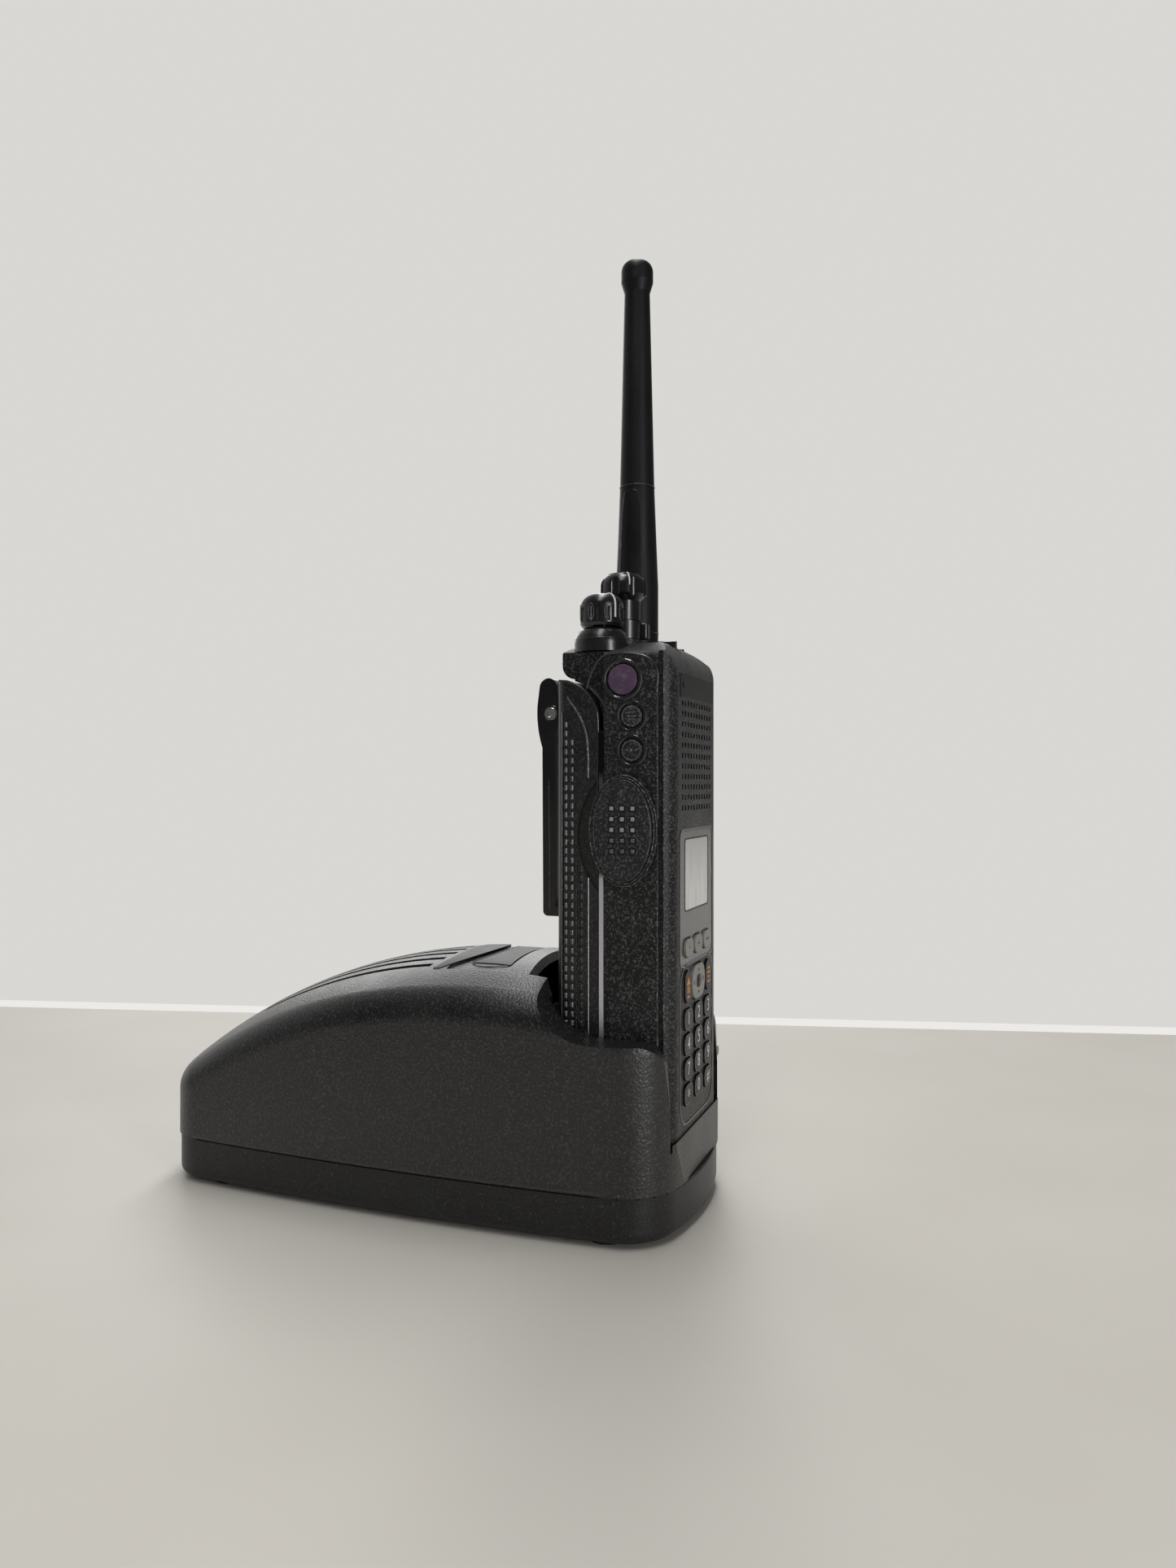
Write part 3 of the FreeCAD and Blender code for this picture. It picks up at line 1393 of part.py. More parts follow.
def make_top_controls():
    collar = turned_body("volume_collar", [
        ("0", "0"),
        ("volume_collar_radius", "0"),
        ("volume_collar_radius", "collar_rim", "collar_round", 1),
        ("volume_radius - collar_top", "volume_collar_height"),
        ("0", "volume_collar_height"),
    ], "0 - volume_x", "0 - volume_y", "volume_collar_base")
    drill(collar, "top", "shaft_radius + shaft_play", "0", "0",
          "volume_collar_height - shaft_depth", "shaft_depth + over_cut")
    gap = "volume_base - volume_collar_base - volume_collar_height"
    knob = turned_body("volume_knob", [
        ("0", f"0 - shaft_depth + knob_floor - ({gap})"),
        ("shaft_radius", f"0 - shaft_depth + knob_floor - ({gap})"),
        ("shaft_radius", "0"),
        ("volume_radius - volume_hem", "0"),
        ("volume_radius", "volume_hem_rise"),
        ("volume_radius", "volume_height - volume_shoulder", "volume_shoulder", 1),
        ("volume_radius - volume_crown", "volume_height"),
        ("0", "volume_height"),
    ], "0 - volume_x", "0 - volume_y", "volume_base")
    cut_flutes(knob, "volume_flutes", "volume_flute_radius",
               "volume_radius + volume_flute_reach", "volume_flute_base",
               "volume_height - volume_flute_short")
    knob = turned_body("channel_knob", [
        ("0", "boss_top - shaft_depth + knob_floor - channel_base"),
        ("shaft_radius", "boss_top - shaft_depth + knob_floor - channel_base"),
        ("shaft_radius", "0"),
        ("channel_neck_radius", "0"),
        ("channel_neck_radius", "channel_neck_height"),
        ("channel_radius", "channel_neck_height + channel_flare"),
        ("channel_radius", "channel_height - channel_shoulder", "channel_round", 1),
        ("channel_radius - channel_crown", "channel_height"),
        ("0", "channel_height"),
    ], "0", "0 - channel_y", "channel_base")
    cut_flutes(knob, "channel_lobes", "channel_flute_radius",
               "channel_radius + channel_flute_reach", "channel_neck_height",
               "channel_height - channel_neck_height - channel_flute_short")
    ring = new_body("concentric_switch", "0", "0 - channel_y", "ring_base")
    sketch = new_sketch(ring, "top")
    draw_circle(sketch, "ring_radius")
    raise_pad(ring, sketch, "ring_height")
    tab = new_sketch(ring, "top")
    draw_rectangle(tab, "ring_tab_width", "ring_tab_radius", "ring_tab_corner", "0",
                   "0 - ring_tab_radius / 2")
    raise_pad(ring, tab, "ring_height - ring_tab_drop")
    drill(ring, "top", "shaft_radius + shaft_play", "0", "0", "0", "ring_height")
    make_antenna()
    top_button = new_body("top_button", "top_button_x", "0 - top_button_y",
                          "top_button_top - top_button_length")
    sketch = new_sketch(top_button, "top")
    draw_circle(sketch, "top_button_radius")
    raise_pad(top_button, sketch, "top_button_length")
    lever = profile_block("toggle_switch", "front", [
        ("0 - toggle_x - toggle_axle_radius", "toggle_pivot_level", "toggle_axle_radius", 1),
        ("0 - toggle_x + toggle_axle_radius", "toggle_pivot_level"),
        ("0 - toggle_x + toggle_width / 2", "toggle_top - toggle_tip",
         "toggle_tip_round", 1),
        ("0 - toggle_x - toggle_width / 2", "toggle_top - toggle_tip"),
    ], "0 - toggle_y - toggle_length / 2", "toggle_length")
    sub_part("status_led", rod("status_led", "led_radius", "led_length", "led_x",
                               "0 - led_y", "led_top - led_length"))


def make_antenna():
    turned_body("antenna_bushing", [
        ("0", "0"),
        ("bushing_radius", "0"),
        ("bushing_radius", "antenna_base - bushing_base"),
        ("0", "antenna_base - bushing_base"),
    ], "antenna_x", "0 - antenna_y", "bushing_base")
    base = "antenna_base"
    bulb = "antenna_top - antenna_bulb_height"
    sheath = turned_body("antenna_sheath", [
        ("0", "0"),
        ("antenna_sleeve_radius", "0"),
        ("antenna_sleeve_radius", "antenna_sleeve_height"),
        ("antenna_mid_radius", f"antenna_mid_level - {base}"),
        ("antenna_tip_radius", f"{bulb} - {base}"),
        ("antenna_bulb_radius", f"{bulb} + antenna_bulb_rise - {base}"),
        ("antenna_bulb_radius", f"antenna_top - antenna_bulb_rise - {base}",
         "antenna_bulb_round", 1),
        ("antenna_bulb_radius - antenna_bulb_crown", f"antenna_top - {base}"),
        ("0", f"antenna_top - {base}"),
    ], "antenna_x", "0 - antenna_y", base)
    drill(sheath, "top", "antenna_core_radius + antenna_core_gap", "0", "0", "0",
          f"antenna_top - antenna_core_end - {base}")
    sub_part("antenna_core", rod("antenna_core", "antenna_core_radius",
                                 f"antenna_top - antenna_core_end - {base} - antenna_core_short",
                                 "antenna_x", "0 - antenna_y", base))


def check_document():
    DOC.recompute()
    for thing in DOC.Objects:
        if "Invalid" in thing.State or "Error" in thing.State:
            raise RuntimeError(f"{thing.Name} {thing.Label} failed: {thing.State}")
    for thing in SUB_PARTS:
        shape = thing.Shape
        if shape.isNull() or not shape.isValid():
            raise RuntimeError(f"{thing.Label} has no valid shape")


def write_parts():
    os.makedirs("parts", exist_ok=True)
    for thing in SUB_PARTS:
        thing.Shape.exportStep(f"parts/{thing.Label}.step")


fill_sheet()
make_charger()
make_battery()
make_clip()
make_front_housing()
make_radio_insides()
make_display_and_keypad()
make_side_controls()
make_top_controls()
check_document()
write_parts()
print(f"{len(SUB_PARTS)} pieces written")
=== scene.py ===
"""A two way radio standing in its desktop charger, dressed for the photograph's view."""

import json
import math

import bpy
import bmesh
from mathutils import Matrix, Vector
from mathutils.bvhtree import BVHTree


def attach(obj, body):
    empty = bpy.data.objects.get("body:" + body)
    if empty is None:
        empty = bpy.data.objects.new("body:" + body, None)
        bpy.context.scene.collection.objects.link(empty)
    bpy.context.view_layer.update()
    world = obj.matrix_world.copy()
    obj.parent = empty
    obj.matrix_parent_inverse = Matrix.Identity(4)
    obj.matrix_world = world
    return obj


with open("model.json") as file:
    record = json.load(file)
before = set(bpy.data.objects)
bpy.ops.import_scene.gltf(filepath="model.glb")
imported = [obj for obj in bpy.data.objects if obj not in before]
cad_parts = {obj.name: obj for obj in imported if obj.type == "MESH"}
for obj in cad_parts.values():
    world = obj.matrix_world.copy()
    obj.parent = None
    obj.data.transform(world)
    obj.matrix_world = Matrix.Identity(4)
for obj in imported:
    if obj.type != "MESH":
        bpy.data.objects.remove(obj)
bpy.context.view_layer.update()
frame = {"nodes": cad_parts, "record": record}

MM = 0.001
SCENE = bpy.context.scene


# Materials

def shader_tree(name):
    """A new material with its principled shader, ready for more nodes."""
    material = bpy.data.materials.new(name)
    material.use_nodes = True
    tree = material.node_tree
    tree.nodes.clear()
    out = tree.nodes.new("ShaderNodeOutputMaterial")
    shader = tree.nodes.new("ShaderNodeBsdfPrincipled")
    tree.links.new(shader.outputs["BSDF"], out.inputs["Surface"])
    coords = tree.nodes.new("ShaderNodeTexCoord")
    return material, tree, shader, coords.outputs["Object"]


def noise(tree, where, size_mm, detail=2.0, stretch=None):
    """A noise value whose grains are about size_mm across."""
    if stretch:
        mapping = tree.nodes.new("ShaderNodeMapping")
        mapping.inputs["Scale"].default_value = stretch
        tree.links.new(where, mapping.inputs["Vector"])
        where = mapping.outputs["Vector"]
    node = tree.nodes.new("ShaderNodeTexNoise")
    node.inputs["Scale"].default_value = 1000 / size_mm
    node.inputs["Detail"].default_value = detail
    tree.links.new(where, node.inputs["Vector"])
    return node.outputs["Fac"]


def spread(tree, value, low, high, to_low=0.0, to_high=1.0):
    """The value between low and high, spread between two others."""
    node = tree.nodes.new("ShaderNodeMapRange")
    node.inputs["From Min"].default_value = low
    node.inputs["From Max"].default_value = high
    node.inputs["To Min"].default_value = to_low
    node.inputs["To Max"].default_value = to_high
    tree.links.new(value, node.inputs["Value"])
    return node.outputs["Result"]


def combine(tree, operation, first, second):
    """Two values joined by a sum of that kind; the second may be a plain number."""
    node = tree.nodes.new("ShaderNodeMath")
    node.operation = operation
    tree.links.new(first, node.inputs[0])
    if isinstance(second, (int, float)):
        node.inputs[1].default_value = second
    else:
        tree.links.new(second, node.inputs[1])
    return node.outputs[0]


def blend_colours(tree, factor, first, second):
    """A colour between two, each a colour or another socket."""
    node = tree.nodes.new("ShaderNodeMix")
    node.data_type = "RGBA"
    tree.links.new(factor, node.inputs["Factor"])
    for socket, colour in ((node.inputs[6], first), (node.inputs[7], second)):
        if isinstance(colour, tuple):
            socket.default_value = (*colour, 1.0)
        else:
            tree.links.new(colour, socket)
    return node.outputs[2]


def bump(tree, shader, height, depth_mm):
    """Lays a bump of that depth on the shader, over any that it has."""
    node = tree.nodes.new("ShaderNodeBump")
    node.inputs["Strength"].default_value = 1.0
    node.inputs["Distance"].default_value = depth_mm * MM
    tree.links.new(height, node.inputs["Height"])
    old = shader.inputs["Normal"].links
    if old:
        tree.links.new(old[0].from_socket, node.inputs["Normal"])
    tree.links.new(node.outputs["Normal"], shader.inputs["Normal"])


def plastic(name, base, rough, grain=0.7, depth=0.05, glint=0.0, sheen=0.5, worn=0.0, dust=0.0):
    """A moulded surface: pebble grain with pale flecks painted on as its highlights, uneven gloss, light dust
    and a few fine scratches.
    """
    material, tree, shader, where = shader_tree(name)
    pebble = noise(tree, where, grain, 1.5)
    patch = noise(tree, where, 22.0, 3.0)
    dull = tuple(c * 0.75 for c in base)
    lit = tuple(min(1.0, c * 1.2 + 0.001) for c in base)
    colour = blend_colours(tree, spread(tree, patch, 0.35, 0.65), dull, lit)
    # Painted highlight: pale flecks on the grain stand in for the glints of light off the pebbles.
    if glint:
        pale = tuple(min(1.0, c + glint) for c in base)
        colour = blend_colours(tree, spread(tree, pebble, 0.50, 0.72), colour, pale)
    if dust:
        specks = noise(tree, where, 0.9, 1.0)
        grey = tuple(min(1.0, c + 0.16) for c in base)
        colour = blend_colours(tree, spread(tree, specks, 0.70, 0.76, 0.0, dust), colour, grey)
    if worn:
        lines = noise(tree, where, 1.5, 0.0, (1.0, 1.0, 0.03))
        pale = tuple(min(1.0, c * 1.4 + 0.08) for c in base)
        colour = blend_colours(tree, spread(tree, lines, 0.745, 0.77, 0.0, worn), colour, pale)
    tree.links.new(colour, shader.inputs["Base Color"])
    tree.links.new(spread(tree, patch, 0.3, 0.7, rough - 0.04, rough + 0.06), shader.inputs["Roughness"])
    shader.inputs["Specular IOR Level"].default_value = sheen
    if depth:
        bump(tree, shader, pebble, depth)
    return material


def paint(name, base, rough, mottle=0.12):
    """A thin printed or painted mark, a little uneven."""
    material, tree, shader, where = shader_tree(name)
    dull = tuple(c * (1 - mottle) for c in base)
    colour = blend_colours(tree, spread(tree, noise(tree, where, 0.8), 0.35, 0.65), dull, base)
    tree.links.new(colour, shader.inputs["Base Color"])
    shader.inputs["Roughness"].default_value = rough
    return material


def metal(name, base, rough, brushed=(1.0, 1.0, 0.05)):
    """Bare or plated metal with fine draw lines."""
    material, tree, shader, where = shader_tree(name)
    lines = noise(tree, where, 0.35, 2.0, brushed)
    dull = tuple(c * 0.8 for c in base)
    tree.links.new(blend_colours(tree, lines, dull, base), shader.inputs["Base Color"])
    tree.links.new(spread(tree, lines, 0.3, 0.7, rough - 0.04, rough + 0.08), shader.inputs["Roughness"])
    shader.inputs["Metallic"].default_value = 1.0
    bump(tree, shader, lines, 0.01)
    return material


def axis_of(tree, where, axis):
    """One coordinate of a place, in metres."""
    parts = tree.nodes.new("ShaderNodeSeparateXYZ")
    tree.links.new(where, parts.inputs["Vector"])
    return parts.outputs[axis]


def scratched(tree, where, colour, pale, share):
    """The colour with a few long slanting scratches over it."""
    mapping = tree.nodes.new("ShaderNodeMapping")
    mapping.inputs["Rotation"].default_value = (0.0, math.radians(24), 0.0)
    tree.links.new(where, mapping.inputs["Vector"])
    worn = noise(tree, mapping.outputs["Vector"], 1.4, 0.0, (1.0, 1.0, 0.035))
    return blend_colours(tree, spread(tree, worn, 0.735, 0.765, 0.0, share), colour, pale)


def lens_material():
    """The display cover, printed warm grey from behind, with a paler visor strip at its head."""
    material, tree, shader, where = shader_tree("lens_grey_finish")
    flecks = noise(tree, where, 0.55, 2.0)
    grey = blend_colours(tree, spread(tree, flecks, 0.42, 0.6), (0.085, 0.08, 0.075), (0.15, 0.144, 0.136))
    visor = spread(tree, axis_of(tree, where, "Z"), 0.1297, 0.1301)
    colour = blend_colours(tree, visor, grey, (0.11, 0.108, 0.104))
    colour = scratched(tree, where, colour, (0.45, 0.45, 0.43), 0.6)
    tree.links.new(colour, shader.inputs["Base Color"])
    shader.inputs["Roughness"].default_value = 0.3
    shader.inputs["Specular IOR Level"].default_value = 0.3
    shader.inputs["Coat Weight"].default_value = 0.12
    shader.inputs["Coat Roughness"].default_value = 0.05
    return material


def screen_material():
    """The pale unlit screen with painted glare: brighter towards its foot, with soft upright streaks."""
    material, tree, shader, where = shader_tree("screen_finish")
    # Painted glare: pale upright streaks and a brighter foot stand in for reflected light on the screen.
    painted_glare_streaks = noise(tree, where, 3.2, 2.0, (1.0, 1.0, 0.15))
    low = blend_colours(tree, spread(tree, painted_glare_streaks, 0.35, 0.65), (0.56, 0.56, 0.54), (0.74, 0.74, 0.72))
    head = spread(tree, axis_of(tree, where, "Z"), 0.112, 0.129)
    colour = blend_colours(tree, head, low, (0.44, 0.445, 0.43))
    tree.links.new(scratched(tree, where, colour, (0.72, 0.72, 0.70), 0.5), shader.inputs["Base Color"])
    shader.inputs["Roughness"].default_value = 0.3
    shader.inputs["Coat Weight"].default_value = 0.25
    shader.inputs["Coat Roughness"].default_value = 0.06
    return material


def rail_material():
    """The bare chassis edge, bright below the battery's shoulder, with painted shade up inside the arch: dull
    lilac, then near black higher up.
    """
    material, tree, shader, where = shader_tree("rail_aluminium_finish")
    lines = noise(tree, where, 0.3, 2.0, (1.0, 1.0, 0.04))
    bright = blend_colours(tree, lines, (0.62, 0.62, 0.68), (0.78, 0.78, 0.86))
    # Painted shade: dull lilac above the battery's shoulder and near black higher inside the arch, where the
    # rail lies under the battery.
    upper = spread(tree, axis_of(tree, where, "Z"), 0.1165, 0.1185)
    colour = blend_colours(tree, upper, bright, (0.13, 0.12, 0.155))
    painted_shade_deep = spread(tree, axis_of(tree, where, "Z"), 0.149, 0.152)
    colour = blend_colours(tree, painted_shade_deep, colour, (0.01, 0.01, 0.012))
    tree.links.new(colour, shader.inputs["Base Color"])
    tree.links.new(spread(tree, lines, 0.3, 0.7, 0.3, 0.42), shader.inputs["Roughness"])
    shader.inputs["Metallic"].default_value = 0.85
    bump(tree, shader, lines, 0.01)
    return material


BLACK = (0.0085, 0.0085, 0.0095)
# In each plastic, glint sets how pale the flecks painted on its grain as highlights are.
finish = {
    "charger_plastic": plastic(
        "charger_plastic_finish", (0.006, 0.006, 0.007), 0.31,
        grain=0.8, depth=0.16, glint=0.035, sheen=0.62, dust=0.15,
    ),
    "tray_plastic": plastic(
        "tray_plastic_finish", BLACK, 0.38,
        grain=0.6, depth=0.05, glint=0.02, sheen=0.4, dust=0.3,
    ),
    "charger_gloss": plastic(
        "charger_gloss_finish", (0.03, 0.03, 0.032), 0.2,
        grain=0.9, depth=0.0, glint=0.0, sheen=0.9,
    ),
    "foot_rubber": plastic("foot_rubber_finish", (0.012, 0.012, 0.012), 0.75, grain=0.5, depth=0.04),
    "screw_steel": metal("screw_steel_finish", (0.35, 0.35, 0.36), 0.32, (1.0, 1.0, 1.0)),
    "circuit_board": plastic("circuit_board_finish", (0.012, 0.07, 0.028), 0.4, grain=1.2, depth=0.02),
    "contact_gold": metal("contact_gold_finish", (0.75, 0.52, 0.2), 0.28),
    "inlet_plastic": plastic("inlet_plastic_finish", (0.01, 0.01, 0.011), 0.3, grain=0.4, depth=0.01),
    "light_lens": plastic("light_lens_finish", (0.05, 0.012, 0.012), 0.12, grain=1.0, depth=0.005),
    "battery_plastic": plastic(
        "battery_plastic_finish", BLACK, 0.36,
        grain=0.7, depth=0.05, glint=0.035, sheen=0.45, dust=0.3,
    ),
    "cell_wrap": plastic("cell_wrap_finish", (0.02, 0.06, 0.16), 0.35, grain=1.5, depth=0.01),
    "clip_metal": plastic(
        "clip_metal_finish", (0.007, 0.007, 0.008), 0.24,
        grain=0.5, depth=0.012, glint=0.012, sheen=0.6, worn=0.3,
    ),
    "pin_chrome": metal("pin_chrome_finish", (0.75, 0.75, 0.77), 0.18, (1.0, 1.0, 1.0)),
    "spring_steel": metal("spring_steel_finish", (0.45, 0.45, 0.47), 0.3),
    "radio_plastic": plastic(
        "radio_plastic_finish", BLACK, 0.42,
        grain=0.7, depth=0.09, glint=0.085, sheen=0.3, dust=0.25,
    ),
    "rail_aluminium": rail_material(),
    "lens_grey": lens_material(),
    "display_grey": paint("display_grey_finish", (0.42, 0.43, 0.4), 0.5),
    "keypad_grey": plastic(
        "keypad_grey_finish", (0.030, 0.029, 0.028), 0.45,
        grain=0.5, depth=0.03, glint=0.10, sheen=0.2, worn=0.3,
    ),
    "key_black": plastic(
        "key_black_finish", (0.006, 0.006, 0.007), 0.36,
        grain=0.4, depth=0.012, glint=0.012, sheen=0.2,
    ),
    "key_grey": plastic(
        "key_grey_finish", (0.24, 0.235, 0.21), 0.42,
        grain=0.5, depth=0.02, glint=0.05, sheen=0.3,
    ),
    "knob_plastic": plastic(
        "knob_plastic_finish", (0.006, 0.006, 0.007), 0.26,
        grain=0.6, depth=0.01, glint=0.008, sheen=0.6, worn=0.25,
    ),
    "button_rubber": plastic(
        "button_rubber_finish", (0.012, 0.012, 0.015), 0.46,
        grain=0.65, depth=0.07, glint=0.085, sheen=0.35, dust=0.2,
    ),
    "button_purple": plastic(
        "button_purple_finish", (0.075, 0.042, 0.082), 0.42,
        grain=2.2, depth=0.05, glint=0.05, sheen=0.4, dust=0.5,
    ),
    "button_orange": plastic("button_orange_finish", (0.16, 0.03, 0.022), 0.35, grain=0.8, depth=0.02),
    "antenna_rubber": plastic(
        "antenna_rubber_finish", (0.004, 0.004, 0.005), 0.46,
        grain=0.8, depth=0.012, glint=0.004, sheen=0.25,
    ),
    "antenna_wire": metal("antenna_wire_finish", (0.6, 0.6, 0.62), 0.3),
    "bushing_brass": metal("bushing_brass_finish", (0.55, 0.4, 0.18), 0.3),
    "inner_plastic": plastic("inner_plastic_finish", (0.02, 0.02, 0.022), 0.5, grain=0.8, depth=0.03),
    "sheet_silicone": plastic("sheet_silicone_finish", (0.1, 0.1, 0.1), 0.6, grain=0.8, depth=0.02),
    "edge_gloss": plastic(
        "edge_gloss_finish", (0.016, 0.016, 0.018), 0.18,
        grain=0.9, depth=0.0, glint=0.0, sheen=1.0,
    ),
    # A paler glossy grey for ribs, edges and marks: real gloss, with painted highlight in its lighter colour
    # and pale flecks.
    "glossy_painted_highlight": plastic(
        "glossy_painted_highlight_finish", (0.075, 0.075, 0.08), 0.25,
        grain=0.9, depth=0.0, glint=0.10, sheen=0.8,
    ),
    # A dark plastic with strong pale flecks: painted highlight that makes beads read as bright edges.
    "radio_glint": plastic(
        "radio_glint_finish", (0.02, 0.02, 0.022), 0.34,
        grain=0.8, depth=0.03, glint=0.22, sheen=0.6,
    ),
    "plate_satin": plastic(
        "plate_satin_finish", (0.004, 0.004, 0.0045), 0.4,
        grain=1.2, depth=0.0, glint=0.0, sheen=0.25, worn=0.25,
    ),
    "seam_light": metal("seam_light_finish", (0.62, 0.62, 0.66), 0.4),
    "antenna_edge": plastic(
        "antenna_edge_finish", (0.012, 0.012, 0.013), 0.3,
        grain=0.9, depth=0.0, glint=0.0, sheen=0.7,
    ),
    "screen": screen_material(),
    # A near black, matt finish laid where a gap or an opening is: painted shade.
    "painted_shade_black": plastic(
        "painted_shade_black_finish", (0.002, 0.002, 0.002), 0.6,
        grain=0.8, depth=0.0, glint=0.0, sheen=0.1,
    ),
}
NODE_FINISH = {"base_tray": "tray_plastic", "top_housing": "charger_plastic"}
white_mark = paint("white_mark_finish", (0.74, 0.74, 0.72), 0.5)
# A pale grey line round each number key's face: painted highlight of the key's edge.
painted_edge_highlight = paint("painted_edge_highlight_finish", (0.15, 0.15, 0.148), 0.45)
dark_mark = paint("dark_mark_finish", (0.02, 0.02, 0.02), 0.5)
orange_mark = paint("orange_mark_finish", (0.70, 0.27, 0.035), 0.5)
pip_grey = paint("pip_grey_finish", (0.30, 0.30, 0.32), 0.45)


def dress_nodes():
    """Gives each CAD node the finish of its material slot in the record."""
    for node in frame["record"]["subparts"]:
        name = node["node"]
        material = finish[NODE_FINISH.get(name, node["material_slot"])]
        obj = frame["nodes"][name]
        if not obj.data.materials:
            obj.data.materials.append(material)
        for place in obj.material_slots:
            place.material = material


# Forms

FACES = {
    "left": lambda u, v, w: (-w, u, v),
    "right": lambda u, v, w: (w, u, v),
    "front": lambda u, v, w: (u, -w, v),
    "back": lambda u, v, w: (u, w, v),
}


def rounded(cu, cv, wide, tall, radius, steps=4):
    """The outline of a rounded rectangle."""
    points = []
    for turn, (su, sv) in enumerate(((1, 1), (-1, 1), (-1, -1), (1, -1))):
        for step in range(steps + 1):
            angle = math.radians(90 * (turn + step / steps))
            points.append((
                cu + su * (wide / 2 - radius) + radius * math.cos(angle),
                cv + sv * (tall / 2 - radius) + radius * math.sin(angle),
            ))
    return points


def oval(cu, cv, wide, tall, steps=40):
    """The outline of an ellipse."""
    return [
        (cu + wide / 2 * math.cos(math.tau * i / steps), cv + tall / 2 * math.sin(math.tau * i / steps))
        for i in range(steps)
    ]


def ring_of(mesh, face, points, level):
    """One loop of vertices on a face of the part, level millimetres out."""
    return [mesh.verts.new(Vector(FACES[face](u, v, level)) * MM) for u, v in points]


def join_rings(mesh, first, second):
    """Joins two loops of the same count with quads."""
    count = len(first)
    for i in range(count):
        j = (i + 1) % count
        mesh.faces.new((first[i], first[j], second[j], second[i]))


def inset(points, amount):
    """The outline drawn in towards its middle by about that amount."""
    cu = sum(p[0] for p in points) / len(points)
    cv = sum(p[1] for p in points) / len(points)
    half_u = max(abs(p[0] - cu) for p in points)
    half_v = max(abs(p[1] - cv) for p in points)
    return [
        (cu + (u - cu) * (1 - amount / half_u), cv + (v - cv) * (1 - amount / half_v)) for u, v in points
    ]


def pad(mesh, face, points, base, height, edge=0.0):
    """A raised pad with a chamfered top edge."""
    low = ring_of(mesh, face, points, base)
    mid = ring_of(mesh, face, points, base + height - edge)
    join_rings(mesh, low, mid)
    top = mid
    if edge:
        top = ring_of(mesh, face, inset(points, edge), base + height)
        join_rings(mesh, mid, top)
    mesh.faces.new(top)
    mesh.faces.new(low[::-1])


def band(mesh, face, outer, inner, base, height, edge=0.0):
    """A raised ring between two outlines of the same count, its top edges chamfered."""
    low_out = ring_of(mesh, face, outer, base)
    low_in = ring_of(mesh, face, inner, base)
    mid_out = ring_of(mesh, face, outer, base + height - edge)
    mid_in = ring_of(mesh, face, inner, base + height - edge)
    join_rings(mesh, low_out, mid_out)
    join_rings(mesh, mid_in, low_in)
    if edge:
        top_out = ring_of(mesh, face, inset(outer, edge), base + height)
        top_in = ring_of(mesh, face, inset(inner, -edge), base + height)
        join_rings(mesh, mid_out, top_out)
        join_rings(mesh, top_in, mid_in)
        mid_out = top_out
        mid_in = top_in
    join_rings(mesh, mid_out, mid_in)
    join_rings(mesh, low_in, low_out)


def finish_piece(mesh, name, body, material):
    """Turns a built mesh into a piece that rides on a body."""
    bmesh.ops.recalc_face_normals(mesh, faces=mesh.faces)
    data = bpy.data.meshes.new(name)
    mesh.to_mesh(data)
    mesh.free()
    obj = bpy.data.objects.new(name, data)
    SCENE.collection.objects.link(obj)
    data.materials.append(material)
    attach(obj, body)


def bead(name, body, material, points, radius, closed=False, straight=False):
    """A thin raised bead through points in millimetres, smooth or in straight runs."""
    curve = bpy.data.curves.new(name, "CURVE")
    curve.dimensions = "3D"
    curve.bevel_depth = radius * MM
    curve.bevel_resolution = 2
    curve.resolution_u = 6
    spline = curve.splines.new("BEZIER")
    spline.bezier_points.add(len(points) - 1)
    for place, point in zip(spline.bezier_points, points):
        place.co = Vector(point) * MM
        place.handle_left_type = "VECTOR" if straight else "AUTO"
        place.handle_right_type = "VECTOR" if straight else "AUTO"
    spline.use_cyclic_u = closed
    curve.materials.append(material)
    obj = bpy.data.objects.new(name, curve)
    SCENE.collection.objects.link(obj)
    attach(obj, body)


def stamp(name, body, material, text, face, cu, cv, level, size):
    """A generic digit or sign as a thin raised mark on the front of a key."""
    curve = bpy.data.curves.new(name, "FONT")
    curve.body = text
    curve.size = size * MM
    curve.align_x = "CENTER"
    curve.align_y = "CENTER"
    curve.extrude = 0.03 * MM
    obj = bpy.data.objects.new(name, curve)
    SCENE.collection.objects.link(obj)
    obj.rotation_euler = (math.radians(90), 0, 0)
    obj.location = Vector(FACES[face](cu, cv, level)) * MM
    curve.materials.append(material)
    bpy.context.view_layer.update()
    data = bpy.data.meshes.new_from_object(obj.evaluated_get(bpy.context.evaluated_depsgraph_get()))
    data.transform(obj.matrix_world)
    bpy.data.objects.remove(obj)
    made = bpy.data.objects.new(name, data)
    SCENE.collection.objects.link(made)
    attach(made, body)


def surface_tree(name):
    """A caster that finds where a straight line first meets a CAD node at rest."""
    data = frame["nodes"][name].data
    corners = [v.co.copy() for v in data.vertices]
    return BVHTree.FromPolygons(corners, [tuple(p.vertices) for p in data.polygons])


def drape(tree, start, aim, lift):
    """The point lift millimetres off the surface met on the way from start to aim, all in millimetres."""
    origin = Vector(start) * MM
    way = (Vector(aim) * MM - origin).normalized()
    place, normal, _, _ = tree.ray_cast(origin, way)
    if place is None:
        raise RuntimeError("nothing to lie on between " + str(start) + " and " + str(aim))
    if normal.dot(way) > 0:
        normal = -normal
    return (place + normal * lift * MM) / MM


def round_band(mesh, face, centre, outer, inner, base, height, edge, steps=40):
    """A raised round ring, given by its two diameters."""
    outlines = [oval(*centre, across, across, steps) for across in (outer, inner)]
    band(mesh, face, *outlines, base, height, edge)


def square_band(mesh, face, centre, outer, inner, base, height, edge, steps=4):
    """A raised rounded frame, each outline given as width, height and corner radius."""
    band(mesh, face, rounded(*centre, *outer, steps), rounded(*centre, *inner, steps), base, height, edge)


